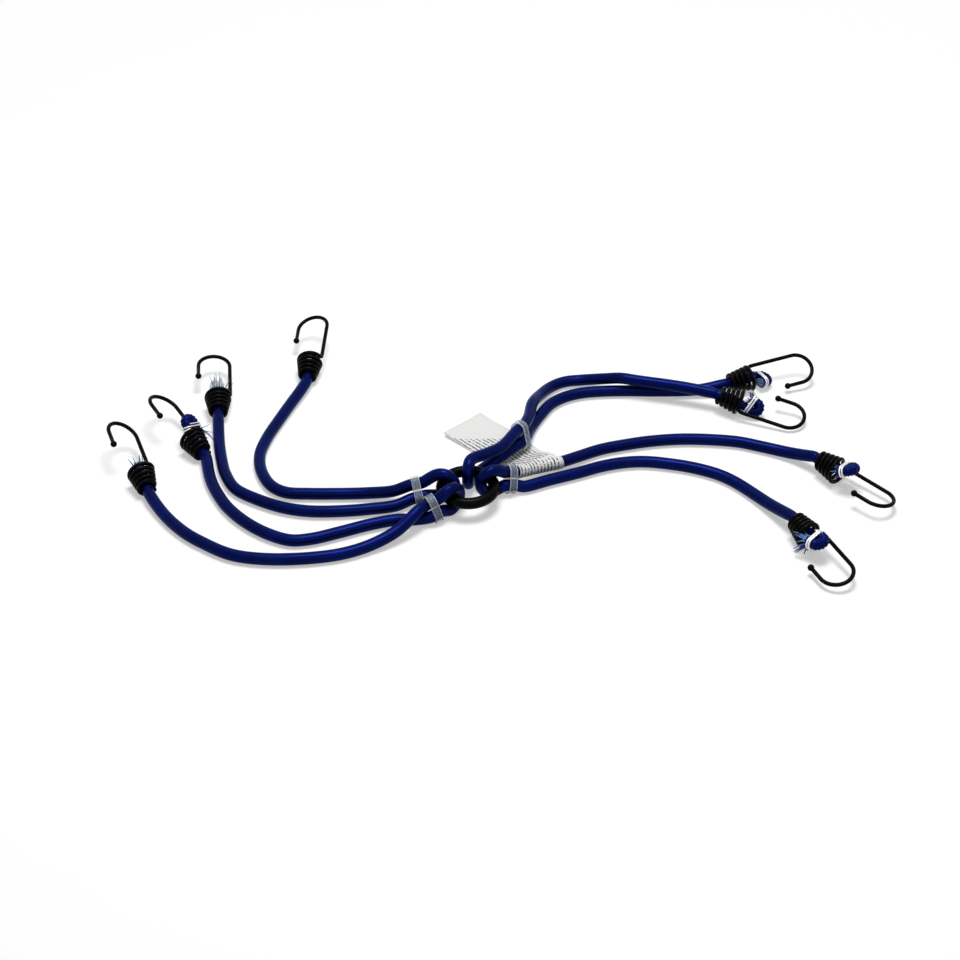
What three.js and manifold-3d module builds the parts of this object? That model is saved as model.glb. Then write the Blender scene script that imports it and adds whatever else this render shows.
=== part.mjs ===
// Spider bungee cord: four elastic cords folded over one moulded ring make eight arms,
// and each arm ends in a coated wire hook whose wound cone grips the folded cord end.
// Millimetres, +Z up. The layout is written from the middle of the ring, with the floor at zero,
// and the finished group is moved so that its origin is under the middle of its box.
import * as THREE from 'three';
import { mergeVertices } from 'three/addons/utils/BufferGeometryUtils.js';
import ManifoldModule from 'manifold-3d';

// Elastic cord, an eight-sided section with a flat side down
const CORD_D = 8;
const CORD_SIDES = 8;
const SQUEEZED_D = 6.2;
const CORE_D = 4;
const CORE_SIDES = 10;
const CORE_SEAT = 2;
const CORE_SHOWS = 0.8;
const ARM_STEP = 13;
const BIGHT_STEP = 3.2;
const BIGHT_ARC_TO = 270;
const BIGHT_ARC_STEP = 30;

// Moulded ring
const RING_R = 17.2;
const RING_BAR_D = 7.6;
const RING_SECTION_SIDES = 12;
const RING_STEPS = 36;

// Clear band that clamps the two legs of a folded cord
const BAND_WIDTH = 5.4;
const BAND_WALL = 0.9;
const BAND_ARC_STEPS = 8;
const STRAIGHT_PAST_BAND = 1.2;

// Wire hook: a cone of turns, a straight shank, a round bend and a ball tip
const WIRE_D = 2.6;
const WIRE_SIDES = 6;
const COIL_TURNS = 5;
const COIL_PITCH = 3.3;
const COIL_STEPS = 10;
const COIL_BIG_R = 8.4;
const COIL_EXIT_R = 3.5;
const COIL_EXIT_STEPS = 3;
const SHANK_LENGTH = 28.5;
const BEND_R = 11;
const BEND_STEPS = 9;
const RETURN_LENGTH = 11;
const BALL_D = 4.4;
const BALL_STEPS = 4;

// Cord end, folded back past the cone or cut short at its mouth, and the two-turn wire clip round it
const STUB_PAST_COIL = 1.9;
const CUT_PAST_COIL = 2;
const CLIP_WIRE_D = 1.2;
const CLIP_WIRE_SIDES = 5;
const CLIP_TURNS = 2;
const CLIP_PITCH = 1.8;
const CLIP_ARC_STEPS = 4;
const END_STEP = 7;
const END_LEAD = 4;
const LEAN_X = 14;
const LEAN_RUN = 2;
const FOLD_ARC_STEPS = 6;

// Paper label: a sleeve round one arm and a loose flag on the floor
const LABEL_WIDTH = 36;
const LABEL_PAPER = 0.5;
const FLAG_LENGTH = 73;
const FLAG_LIFT = 0.3;
const FLAG_DROP_RUN = 20;
const FLAG_DROP_STEPS = 7;
const FLAG_BELOW_AXIS = 1;
const FLAG_TURN = 9;
const SLEEVE_FROM_BAND = 6.6;
const SLEEVE_STEPS = 4;

// Clearances
const FIT_GAP = 0.35;
const SEAM_GAP = 0.3;
const BAR_GAP = 0.5;
const FLOOR_GAP = 0.1;
const CUT_OVERRUN = 1;

// Sizes that follow from the ones above
const CORNER = 1 / Math.cos(Math.PI / CORD_SIDES);
const CORD_R = CORD_D / 2;
const CORD_CORNER_R = CORD_R * CORNER;
const SQUEEZED_CORNER_R = (SQUEEZED_D / 2) * CORNER;
const BIGHT_R = RING_BAR_D / 2 + BAR_GAP + CORD_R;
const RING_Z = BIGHT_R + CORD_R + FLOOR_GAP;
const LEG_PITCH = 2 * CORD_CORNER_R + FIT_GAP;
const BAND_INNER_R = CORD_CORNER_R + FIT_GAP;
const BAND_OUTER_R = BAND_INNER_R + BAND_WALL;
const WIRE_R = WIRE_D / 2;
const COIL_CHORD = Math.cos(Math.PI / COIL_STEPS);
const COIL_SMALL_R = (SQUEEZED_CORNER_R + FIT_GAP + WIRE_R) / COIL_CHORD;
const COIL_LENGTH = COIL_TURNS * COIL_PITCH + WIRE_D;
const BEND_X = COIL_LENGTH + COIL_EXIT_R + SHANK_LENGTH;
const FOLD_R = (2 * SQUEEZED_CORNER_R + FIT_GAP) / 2;
const CLIP_WIRE_R = CLIP_WIRE_D / 2;
const CLIP_R = SQUEEZED_CORNER_R + FIT_GAP + CLIP_WIRE_R;
const CLIP_LENGTH = CLIP_TURNS * CLIP_PITCH + CLIP_WIRE_D;
const STUB_X = COIL_LENGTH + STUB_PAST_COIL;
const CLIP_X = STUB_X + FIT_GAP;
const FOLD_X = CLIP_X + CLIP_LENGTH + FIT_GAP;
const CUT_X = COIL_LENGTH + CUT_PAST_COIL;
const CUT_CLIP_X = COIL_LENGTH - CLIP_LENGTH - FIT_GAP;
const FOLD_START_X = -SEAM_GAP;
const ARM_END_X = FOLD_START_X - SEAM_GAP;

// Where each cord folds over the ring, in degrees round it, and where its band sits:
// from the ring's bar, heading in degrees, dip of the legs, and lean of the upper leg over the lower one,
// where the upper leg comes onto the bar, round its section, and chosen points of a long upper leg
const CORDS = [
  {
    ringAngle: 170, bandFromBar: [-15.3, -5.5], lowerLegZ: 6, heading: 190, dip: 8, lean: 136,
    overBarFrom: 60, upperLegVia: [],
  },
  {
    ringAngle: 230, bandFromBar: [-9.5, -7.4], lowerLegZ: 6.2, heading: 208, dip: 12.5, lean: 112,
    overBarFrom: 60, upperLegVia: [],
  },
  {
    ringAngle: 91, bandFromBar: [36.6, 39.2], lowerLegZ: 7.5, heading: 58, dip: 10, lean: 70,
    overBarFrom: 90, upperLegVia: [[22.3, 37.4, 17], [12.3, 28, 18.6]],
  },
  {
    ringAngle: 21, bandFromBar: [11.8, 3.6], lowerLegZ: 6.2, heading: 22, dip: 14.5, lean: 62,
    overBarFrom: 60, upperLegVia: [],
  },
];

// Arms in pairs, upper leg first: the hook's place, heading, upward tilt and roll about the cord,
// how the folded end leans out of it, with none where the cord is cut, and chosen points of the route
const ARMS = [
  {
    cord: 0, leg: 'upper', hookAt: [-114.7, 132.2], yaw: 86, tilt: 11, roll: 166,
    fold: null,
    route: [
      [-49, 1.5, 8], [-66, 3.6, 4.6], [-84, 3.6, 4], [-104, 3.6, 4], [-120, 5, 4], [-130, 12, 4],
      [-138, 28, 4], [-140.6, 46, 4], [-137.6, 64, 4], [-130.4, 87, 4], [-122.9, 108, 4.6],
    ],
  },
  {
    cord: 0, leg: 'lower', hookAt: [-172.8, 87.5], yaw: 96, tilt: 5, roll: 186,
    fold: null,
    route: [
      [-47, -9, 4.2], [-64, -12.4, 4], [-83, -14.6, 4], [-104, -14.6, 4], [-120.6, -10.8, 4],
      [-138.8, -2, 4], [-153.4, 8.8, 4], [-161.4, 24, 4], [-166.6, 43, 4], [-169.8, 60, 4.2],
    ],
  },
  {
    cord: 1, leg: 'upper', hookAt: [-210.2, 3.7], yaw: 113, tilt: 12, roll: 213,
    fold: null,
    route: [
      [-32.5, -26.7, 13.3], [-45, -39, 7.8], [-62, -49.8, 4.6], [-81, -58, 4], [-106, -62.4, 4],
      [-131, -62.4, 4], [-150, -58.2, 4], [-168.5, -47, 4], [-185, -33.6, 4], [-197.2, -18.8, 4.4],
    ],
  },
  {
    cord: 1, leg: 'lower', hookAt: [-177.8, 42.8], yaw: 125, tilt: 11, roll: 211,
    fold: { lean: 30, towards: 243, roll: 181 },
    route: [
      [-35, -23.5, 4.2], [-46, -23.5, 4], [-63, -28.3, 4], [-82, -36.1, 4], [-100, -42.8, 4],
      [-113, -44.2, 4], [-128, -37.9, 4], [-144, -25.5, 4], [-157.8, -9.2, 4], [-167.2, 8, 4],
      [-173, 23.5, 4.6],
    ],
  },
  {
    cord: 2, leg: 'upper', hookAt: [172.8, 104.5], yaw: -22, tilt: -7, roll: 195,
    fold: { lean: 18, towards: 56, roll: 37 },
    route: [
      [41, 76, 13.3], [44, 94.7, 11.5], [50, 112, 6.5], [58, 125, 4], [68, 131.4, 4],
      [80, 133, 4.4], [95, 128.3, 8.8], [107, 122.8, 13.1], [118, 119.8, 13.2], [132, 116.4, 13.2],
      [147, 113, 13.2],
    ],
  },
  {
    cord: 2, leg: 'lower', hookAt: [182.8, 124.1], yaw: 17, tilt: 5, roll: 28,
    fold: { lean: 28, towards: 287, roll: 338 },
    route: [
      [42.5, 75.5, 4], [49.8, 91.5, 4], [57.5, 104.5, 4], [67, 112.6, 4], [79, 117.6, 4],
      [94, 119.8, 4], [112, 120.4, 4], [130, 120, 4], [147, 120.2, 4], [163, 119.8, 4.8],
    ],
  },
  {
    cord: 3, leg: 'upper', hookAt: [233.2, 32.8], yaw: -46, tilt: -2.5, roll: -11,
    fold: { lean: 31, towards: 74, roll: 0 },
    route: [
      [40, 22.2, 10.2], [50, 28.4, 8.2], [61.8, 35, 6.2], [75.4, 44.2, 4.4], [89, 51.6, 4],
      [106, 57, 4], [124, 61.2, 4], [145, 63.5, 4], [166, 62.8, 4], [185, 60, 4], [202, 53.8, 4.1],
      [213.8, 48.5, 4.4], [223.2, 43, 5.8],
    ],
  },
  {
    cord: 3, leg: 'lower', hookAt: [209.4, -31.6], yaw: -64, tilt: -3.5, roll: 11,
    fold: { lean: 24, towards: 40, roll: 0 },
    route: [
      [37, 11.2, 4.1], [54, 18.4, 4], [74, 26.4, 4], [89, 33, 4], [104, 37.2, 4], [118, 38.3, 4],
      [134, 36, 4], [152, 31, 4], [168, 23.2, 4], [180.5, 12.2, 4], [190, 0.5, 4.3],
      [198, -12, 5.8],
    ],
  },
];
const LABELLED_ARM = 6;

const UP = new THREE.Vector3(0, 0, 1);
const radians = THREE.MathUtils.degToRad;

const COLOURS = {
  ring: new THREE.MeshStandardMaterial({ color: '#141518', roughness: 0.42, metalness: 0 }),
  cord: new THREE.MeshStandardMaterial({ color: '#1d2f9c', roughness: 0.72, metalness: 0 }),
  core: new THREE.MeshStandardMaterial({ color: '#d9d4c6', roughness: 0.8, metalness: 0 }),
  band: new THREE.MeshStandardMaterial({
    color: '#dfe6ec', roughness: 0.15, metalness: 0, transparent: true, opacity: 0.45,
  }),
  hook: new THREE.MeshStandardMaterial({ color: '#101013', roughness: 0.28, metalness: 0 }),
  clip: new THREE.MeshStandardMaterial({ color: '#dcdcda', roughness: 0.35, metalness: 0.8 }),
  paper: new THREE.MeshStandardMaterial({ color: '#f3f3f0', roughness: 0.7, metalness: 0 }),
};

const wasm = await ManifoldModule();
wasm.setup();

// A closed geometry as a solid for joining and cutting, and back again.
function solidOf(geometry) {
  const bare = geometry.clone();
  bare.deleteAttribute('normal');
  bare.deleteAttribute('uv');
  const merged = mergeVertices(bare);
  return new wasm.Manifold(new wasm.Mesh({
    numProp: 3,
    vertProperties: new Float32Array(merged.attributes.position.array),
    triVerts: new Uint32Array(merged.index.array),
  }));
}

function geometryOf(solid) {
  const mesh = solid.getMesh();
  const geometry = new THREE.BufferGeometry();
  geometry.setAttribute('position', new THREE.BufferAttribute(new Float32Array(mesh.vertProperties), 3));
  geometry.setIndex(new THREE.BufferAttribute(new Uint32Array(mesh.triVerts), 1));
  geometry.computeVertexNormals();
  return geometry;
}

function tangentsOf(points) {
  return points.map((point, i) => {
    const before = points[Math.max(i - 1, 0)];
    const after = points[Math.min(i + 1, points.length - 1)];
    return after.clone().sub(before).normalize();
  });
}

// A tube with flat ends through the points. Each ring has its own radius to the corners,
// and acrossAt gives the direction that its flat sides keep to.
function tube(points, cornerRadii, sides, acrossAt, tangents = tangentsOf(points)) {
  const positions = [];
  const faces = [];
  points.forEach((point, i) => {
    const tangent = tangents[i];
    const across = acrossAt(tangent, i).clone();
    across.addScaledVector(tangent, -across.dot(tangent)).normalize();
    const upward = new THREE.Vector3().crossVectors(tangent, across);
    for (let k = 0; k < sides; k += 1) {
      const angle = ((k + 0.5) / sides) * 2 * Math.PI;
      const corner = point.clone();
      corner.addScaledVector(across, cornerRadii[i] * Math.cos(angle));
      corner.addScaledVector(upward, cornerRadii[i] * Math.sin(angle));
      positions.push(corner.x, corner.y, corner.z);
    }
  });
  const last = (points.length - 1) * sides;
  for (let i = 0; i < last; i += sides) {
    for (let k = 0; k < sides; k += 1) {
      const next = (k + 1) % sides;
      faces.push(i + k, i + next, i + sides + k);
      faces.push(i + next, i + sides + next, i + sides + k);
    }
  }
  for (let k = 1; k < sides - 1; k += 1) {
    faces.push(0, k + 1, k);
    faces.push(last, last + k, last + k + 1);
  }
  const geometry = new THREE.BufferGeometry();
  geometry.setAttribute('position', new THREE.Float32BufferAttribute(positions, 3));
  geometry.setIndex(faces);
  geometry.computeVertexNormals();
  return geometry;
}

const level = (tangent) => new THREE.Vector3().crossVectors(UP, tangent);
const evenRadii = (points, radius) => points.map(() => radius);

// A cord along a smooth curve through the chosen points, none lower than a cord on the floor.
// Its first and last stretches are single straight steps, and the rest is evenly stepped.
function cordTube(chosen, step, acrossAt) {
  const curve = new THREE.CatmullRomCurve3(chosen, false, 'centripetal');
  const length = curve.getLength();
  const first = chosen[0].distanceTo(chosen[1]) / length;
  const last = 1 - chosen[chosen.length - 1].distanceTo(chosen[chosen.length - 2]) / length;
  const count = Math.ceil(((last - first) * length) / step);
  const places = [0];
  for (let i = 0; i <= count; i += 1) {
    places.push(THREE.MathUtils.lerp(first, last, i / count));
  }
  places.push(1);
  const points = places.map((place) => curve.getPointAt(place));
  points.forEach((point) => point.setZ(Math.max(point.z, CORD_R)));
  const tangents = places.map((place) => curve.getTangentAt(place));
  return tube(points, evenRadii(points, CORD_CORNER_R), CORD_SIDES, acrossAt, tangents);
}

// The least gap between turns of a winding, measured on its points more than half a turn apart.
function leastGap(points, halfTurn, wireD) {
  let least = Infinity;
  for (let i = 0; i < points.length; i += 1) {
    for (let j = i + halfTurn; j < points.length; j += 1) {
      least = Math.min(least, points[i].distanceTo(points[j]));
    }
  }
  return least - wireD;
}

// Ring frame of one cord: where it folds over the bar and where its band and legs are.
function cordPlan(cord) {
  const angle = radians(cord.ringAngle);
  const outward = new THREE.Vector3(Math.cos(angle), Math.sin(angle), 0);
  const bar = outward.clone().multiplyScalar(RING_R).setZ(RING_Z);
  const dip = radians(cord.dip);
  const heading = radians(cord.heading);
  const along = new THREE.Vector3(
    Math.cos(heading) * Math.cos(dip), Math.sin(heading) * Math.cos(dip), -Math.sin(dip),
  );
  const left = level(along).normalize();
  const over = new THREE.Vector3().crossVectors(along, left);
  const lean = radians(cord.lean);
  const pair = left.multiplyScalar(Math.cos(lean)).addScaledVector(over, Math.sin(lean));
  const lower = bar.clone().setZ(cord.lowerLegZ);
  lower.x += cord.bandFromBar[0];
  lower.y += cord.bandFromBar[1];
  const upper = lower.clone().addScaledVector(pair, LEG_PITCH);
  const middle = lower.clone().add(upper).multiplyScalar(0.5);
  return { outward, bar, along, pair, upper, lower, middle };
}

// One cord where it passes over the bar, down through the ring and back under it, band to band.
function bightGeometry(cord, plan) {
  const points = [];
  const lead = BAND_WIDTH / 2 + STRAIGHT_PAST_BAND;
  points.push(plan.upper.clone().addScaledVector(plan.along, -SEAM_GAP / 2));
  points.push(plan.upper.clone().addScaledVector(plan.along, -lead));
  cord.upperLegVia.forEach((point) => points.push(new THREE.Vector3(...point)));
  for (let degrees = cord.overBarFrom; degrees <= BIGHT_ARC_TO; degrees += BIGHT_ARC_STEP) {
    const point = plan.bar.clone();
    point.addScaledVector(plan.outward, BIGHT_R * Math.cos(radians(degrees)));
    point.addScaledVector(UP, BIGHT_R * Math.sin(radians(degrees)));
    points.push(point);
  }
  points.push(plan.lower.clone().addScaledVector(plan.along, -lead));
  points.push(plan.lower.clone().addScaledVector(plan.along, -SEAM_GAP / 2));
  const roundRing = new THREE.Vector3().crossVectors(UP, plan.outward);
  return cordTube(points, BIGHT_STEP, () => roundRing);
}

function ringGeometry() {
  const profile = [];
  for (let k = 0; k <= RING_SECTION_SIDES; k += 1) {
    const angle = -(k / RING_SECTION_SIDES) * 2 * Math.PI;
    const radius = RING_R + (RING_BAR_D / 2) * Math.cos(angle);
    profile.push(new THREE.Vector2(radius, (RING_BAR_D / 2) * Math.sin(angle)));
  }
  profile[RING_SECTION_SIDES].copy(profile[0]);
  const geometry = new THREE.LatheGeometry(profile.reverse(), RING_STEPS);
  return geometry.rotateX(Math.PI / 2);
}

// Outline with two straight sides and round ends, long way along X.
function stadium(outline, halfLength, radius) {
  outline.moveTo(halfLength, -radius);
  outline.absarc(halfLength, 0, radius, -Math.PI / 2, Math.PI / 2, false);
  outline.lineTo(-halfLength, radius);
  outline.absarc(-halfLength, 0, radius, Math.PI / 2, 1.5 * Math.PI, false);
  outline.closePath();
  return outline;
}

function bandGeometry() {
  const shape = stadium(new THREE.Shape(), LEG_PITCH / 2, BAND_OUTER_R);
  shape.holes.push(stadium(new THREE.Path(), LEG_PITCH / 2, BAND_INNER_R));
  const options = { depth: BAND_WIDTH, bevelEnabled: false, curveSegments: BAND_ARC_STEPS };
  return new THREE.ExtrudeGeometry(shape, options).translate(0, 0, -BAND_WIDTH / 2);
}

// Height of the hook's axis at the small end, with the cone of turns lying on the floor.
function hookHeight(tilt) {
  const big = (COIL_BIG_R + WIRE_R) * Math.cos(tilt) - COIL_LENGTH * Math.sin(tilt);
  const small = (COIL_SMALL_R + WIRE_R) * Math.cos(tilt);
  return Math.max(big, small) + FLOOR_GAP;
}

// The hook's own frame: X along the cord from the small end of the cone, shank on the +Y side.
function hookFrame(arm) {
  const frame = new THREE.Group();
  const tilt = radians(arm.tilt);
  frame.position.set(arm.hookAt[0], arm.hookAt[1], hookHeight(tilt));
  frame.rotation.set(radians(arm.roll), -tilt, radians(arm.yaw), 'ZYX');
  frame.updateMatrix();
  return frame;
}

// The arm from the middle of its band to the small end of its hook's cone.
function armRoute(arm, plan, frame) {
  const start = arm.leg === 'upper' ? plan.upper : plan.lower;
  const lead = BAND_WIDTH / 2 + STRAIGHT_PAST_BAND;
  const inFrame = (x) => new THREE.Vector3(x, 0, 0).applyMatrix4(frame.matrix);
  return [
    start.clone().addScaledVector(plan.along, SEAM_GAP / 2),
    start.clone().addScaledVector(plan.along, lead),
    ...arm.route.map((point) => new THREE.Vector3(...point)),
    inFrame(ARM_END_X - END_LEAD),
    inFrame(ARM_END_X),
  ];
}

// Wire hook in one unbroken tube: cone of turns, quarter bend, shank, round bend, return and ball.
function hookGeometry() {
  const points = [];
  const across = [];
  const radii = [];
  const roundPoint = (x, radius, angle) => {
    points.push(new THREE.Vector3(x, radius * Math.cos(angle), radius * Math.sin(angle)));
    across.push(new THREE.Vector3(0, -Math.cos(angle), -Math.sin(angle)));
    radii.push(WIRE_R);
  };
  const flatPoint = (x, y, radius) => {
    points.push(new THREE.Vector3(x, y, 0));
    across.push(UP.clone());
    radii.push(radius);
  };
  const coilSteps = COIL_TURNS * COIL_STEPS;
  const exitAngle = -COIL_EXIT_R / COIL_BIG_R;
  for (let i = 0; i <= coilSteps; i += 1) {
    const share = i / coilSteps;
    const angle = exitAngle - (1 - share) * COIL_TURNS * 2 * Math.PI;
    const radius = THREE.MathUtils.lerp(COIL_SMALL_R, COIL_BIG_R, share);
    roundPoint(WIRE_R + share * COIL_TURNS * COIL_PITCH, radius, angle);
  }
  const coilGap = leastGap(points, COIL_STEPS / 2, WIRE_D);
  for (let i = 1; i <= COIL_EXIT_STEPS; i += 1) {
    const turn = (i / COIL_EXIT_STEPS) * (Math.PI / 2);
    const angle = exitAngle * (1 - Math.sin(turn));
    roundPoint(COIL_LENGTH - WIRE_R + COIL_EXIT_R * (1 - Math.cos(turn)), COIL_BIG_R, angle);
  }
  const bendY = COIL_BIG_R - BEND_R;
  for (let i = 0; i <= BEND_STEPS; i += 1) {
    const turn = (i / BEND_STEPS) * Math.PI;
    flatPoint(BEND_X + BEND_R * Math.sin(turn), bendY + BEND_R * Math.cos(turn), WIRE_R);
  }
  const ballX = BEND_X - RETURN_LENGTH;
  const neck = Math.asin(WIRE_D / BALL_D);
  for (let i = 0; i <= BALL_STEPS; i += 1) {
    const turn = THREE.MathUtils.lerp(neck, Math.PI - neck / 2, i / BALL_STEPS);
    flatPoint(ballX + (BALL_D / 2) * Math.cos(turn), bendY - BEND_R, (BALL_D / 2) * Math.sin(turn));
  }
  return { geometry: tube(points, radii, WIRE_SIDES, (tangent, i) => across[i]), coilGap };
}

// A folded end's own frame in the hook's frame: it leans out of the cone about a point inside it.
function foldFrame(arm) {
  const frame = new THREE.Matrix4();
  if (arm.fold) {
    const towards = radians(arm.fold.towards);
    const axis = new THREE.Vector3(0, -Math.sin(towards), Math.cos(towards));
    frame.makeTranslation(LEAN_X, 0, 0);
    frame.multiply(new THREE.Matrix4().makeRotationAxis(axis, radians(arm.fold.lean)));
    frame.multiply(new THREE.Matrix4().makeRotationX(radians(arm.fold.roll)));
    frame.multiply(new THREE.Matrix4().makeTranslation(-LEAN_X, 0, 0));
  }
  return frame;
}

// Where a cord is cut, in its end's own frame, and which way the cut faces along X.
const FOLDED_CUT = { x: STUB_X, y: -2 * FOLD_R, facing: -1 };
const SQUARE_CUT = { x: CUT_X, y: 0, facing: 1 };

// Rubber core in its sheath at the cut, or with a clearance and an overrun the seat cut for it.
function coreGeometry(arm, clearance = 0, overrun = 0) {
  const cut = arm.fold ? FOLDED_CUT : SQUARE_CUT;
  const inside = CORE_SEAT + clearance;
  const outside = CORE_SHOWS + overrun;
  const radius = CORE_D / 2 + clearance;
  const core = new THREE.CylinderGeometry(radius, radius, inside + outside, CORE_SIDES);
  core.rotateZ(Math.PI / 2);
  core.translate(cut.x + (cut.facing * (outside - inside)) / 2, cut.y, 0);
  return core.applyMatrix4(foldFrame(arm));
}

// Cord end in the hook's frame: along the cone's axis, then cut square or folded back beside itself.
function cordEndGeometry(arm) {
  const points = [];
  const frame = foldFrame(arm);
  const straightEnd = arm.fold ? LEAN_X - LEAN_RUN : CUT_X;
  const straightSteps = Math.ceil((straightEnd - FOLD_START_X) / END_STEP);
  for (let i = 0; i <= straightSteps; i += 1) {
    const x = THREE.MathUtils.lerp(FOLD_START_X, straightEnd, i / straightSteps);
    points.push(new THREE.Vector3(x, 0, 0));
  }
  if (arm.fold) {
    const folded = [new THREE.Vector3(LEAN_X + LEAN_RUN, 0, 0), new THREE.Vector3(CLIP_X, 0, 0)];
    for (let i = 0; i <= FOLD_ARC_STEPS; i += 1) {
      const turn = (i / FOLD_ARC_STEPS) * Math.PI;
      folded.push(new THREE.Vector3(FOLD_X + FOLD_R * Math.sin(turn), -FOLD_R * (1 - Math.cos(turn)), 0));
    }
    folded.push(new THREE.Vector3(STUB_X, -2 * FOLD_R, 0));
    points.push(...folded.map((point) => point.applyMatrix4(frame)));
  }
  const flat = UP.clone().transformDirection(frame);
  const cord = tube(points, evenRadii(points, SQUEEZED_CORNER_R), CORD_SIDES, () => flat);
  const seat = coreGeometry(arm, SEAM_GAP, CUT_OVERRUN);
  return geometryOf(solidOf(cord).subtract(solidOf(seat)));
}

// Two-turn winding of wire, oval round a cord and its folded-back stub or round on a single cord.
function clipGeometry(arm) {
  const from = arm.fold ? CLIP_X : CUT_CLIP_X;
  const farY = arm.fold ? -2 * FOLD_R : 0;
  const oval = [];
  for (let side = 0; side < 2; side += 1) {
    const firstStep = farY === 0 ? 1 : 0;
    for (let i = firstStep; i <= CLIP_ARC_STEPS; i += 1) {
      const turn = side * Math.PI + (i / CLIP_ARC_STEPS) * Math.PI;
      const endY = side === 0 ? 0 : farY;
      oval.push([endY + CLIP_R * Math.sin(turn), CLIP_R * Math.cos(turn)]);
    }
  }
  const points = [];
  const steps = CLIP_TURNS * oval.length;
  for (let i = 0; i <= steps; i += 1) {
    const [y, z] = oval[i % oval.length];
    points.push(new THREE.Vector3(from + CLIP_WIRE_R + (i / oval.length) * CLIP_PITCH, y, z));
  }
  const lengthwise = new THREE.Vector3(1, 0, 0);
  const geometry = tube(points, evenRadii(points, CLIP_WIRE_R), CLIP_WIRE_SIDES, () => lengthwise);
  geometry.applyMatrix4(foldFrame(arm));
  return { geometry, gap: leastGap(points, oval.length / 2, CLIP_WIRE_D) };
}

// Paper wrapped round the labelled arm, a thin tube that follows it.
function sleeveGeometry(route) {
  const curve = new THREE.CatmullRomCurve3(route, false, 'centripetal');
  const length = curve.getLength();
  const pointsFrom = (from, to) => {
    const points = [];
    for (let i = 0; i <= SLEEVE_STEPS; i += 1) {
      points.push(curve.getPointAt(THREE.MathUtils.lerp(from, to, i / SLEEVE_STEPS) / length));
    }
    return points;
  };
  const inner = (CORD_R + FIT_GAP) * CORNER;
  const outer = inner + LABEL_PAPER * CORNER;
  const to = SLEEVE_FROM_BAND + LABEL_WIDTH;
  const skin = pointsFrom(SLEEVE_FROM_BAND, to);
  const bore = pointsFrom(SLEEVE_FROM_BAND - CUT_OVERRUN, to + CUT_OVERRUN);
  const solid = solidOf(tube(skin, evenRadii(skin, outer), CORD_SIDES, level));
  const hole = solidOf(tube(bore, evenRadii(bore, inner), CORD_SIDES, level));
  return { geometry: geometryOf(solid.subtract(hole)), skin, outer: outer / CORNER };
}

// Loose end of the paper: it leaves the back of the sleeve at a turn, drops and lies on the floor.
function flagMesh(sleeve) {
  const run = sleeve.skin[SLEEVE_STEPS].clone().sub(sleeve.skin[0]).setZ(0).normalize();
  const sleeveMiddle = sleeve.skin[SLEEVE_STEPS / 2];
  const turn = radians(FLAG_TURN);
  const back = level(run).applyAxisAngle(UP, turn);
  const start = (sleeve.outer + SEAM_GAP) / Math.cos(turn) + (LABEL_WIDTH / 2) * Math.tan(turn);
  const dropEnd = start + FLAG_DROP_RUN;
  const rootZ = sleeveMiddle.z - FLAG_BELOW_AXIS;
  const underside = new THREE.CubicBezierCurve(
    new THREE.Vector2(start, rootZ),
    new THREE.Vector2(start + FLAG_DROP_RUN / 2, rootZ),
    new THREE.Vector2(dropEnd - FLAG_DROP_RUN / 2, FLAG_LIFT),
    new THREE.Vector2(dropEnd, FLAG_LIFT),
  ).getPoints(FLAG_DROP_STEPS);
  underside.push(new THREE.Vector2(start + FLAG_LENGTH, FLAG_LIFT));
  const outline = new THREE.Shape(underside);
  [...underside].reverse().forEach((point) => outline.lineTo(point.x, point.y + LABEL_PAPER));
  const geometry = new THREE.ExtrudeGeometry(outline, { depth: LABEL_WIDTH, bevelEnabled: false });
  geometry.translate(0, 0, -LABEL_WIDTH / 2);
  const mesh = new THREE.Mesh(geometry, COLOURS.paper);
  const basis = new THREE.Matrix4().makeBasis(back, UP, new THREE.Vector3().crossVectors(back, UP));
  mesh.quaternion.setFromRotationMatrix(basis);
  mesh.position.set(sleeveMiddle.x, sleeveMiddle.y, 0);
  return mesh;
}

const layout = new THREE.Group();
function add(name, mesh, parent = layout) {
  mesh.name = name;
  parent.add(mesh);
}

const ring = new THREE.Mesh(ringGeometry(), COLOURS.ring);
ring.position.z = RING_Z;
add('center_ring', ring);

const plans = CORDS.map(cordPlan);
plans.forEach((plan, i) => {
  add(`cord_bight_${i + 1}`, new THREE.Mesh(bightGeometry(CORDS[i], plan), COLOURS.cord));
  const band = new THREE.Mesh(bandGeometry(), COLOURS.band);
  const across = new THREE.Vector3().crossVectors(plan.along, plan.pair);
  band.quaternion.setFromRotationMatrix(new THREE.Matrix4().makeBasis(plan.pair, across, plan.along));
  band.position.copy(plan.middle);
  add(`cord_band_${i + 1}`, band);
});

const hook = hookGeometry();
ARMS.forEach((arm, i) => {
  const number = i + 1;
  const frame = hookFrame(arm);
  const route = armRoute(arm, plans[arm.cord], frame);
  add(`cord_arm_${number}`, new THREE.Mesh(cordTube(route, ARM_STEP, level), COLOURS.cord));
  const clip = clipGeometry(arm);
  add(`cord_end_${number}`, new THREE.Mesh(cordEndGeometry(arm), COLOURS.cord), frame);
  add(`rubber_core_${number}`, new THREE.Mesh(coreGeometry(arm), COLOURS.core), frame);
  add(`end_clip_${number}`, new THREE.Mesh(clip.geometry, COLOURS.clip), frame);
  console.log(`least gap between the turns of end clip ${number}: ${clip.gap.toFixed(2)} mm`);
  add(`wire_hook_${number}`, new THREE.Mesh(hook.geometry, COLOURS.hook), frame);
  layout.add(frame);
  if (i === LABELLED_ARM) {
    const sleeve = sleeveGeometry(route);
    add('label_sleeve', new THREE.Mesh(sleeve.geometry, COLOURS.paper));
    add('label_flag', flagMesh(sleeve));
  }
});
console.log(`least gap between the hook's turns: ${hook.coilGap.toFixed(2)} mm`);

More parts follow.
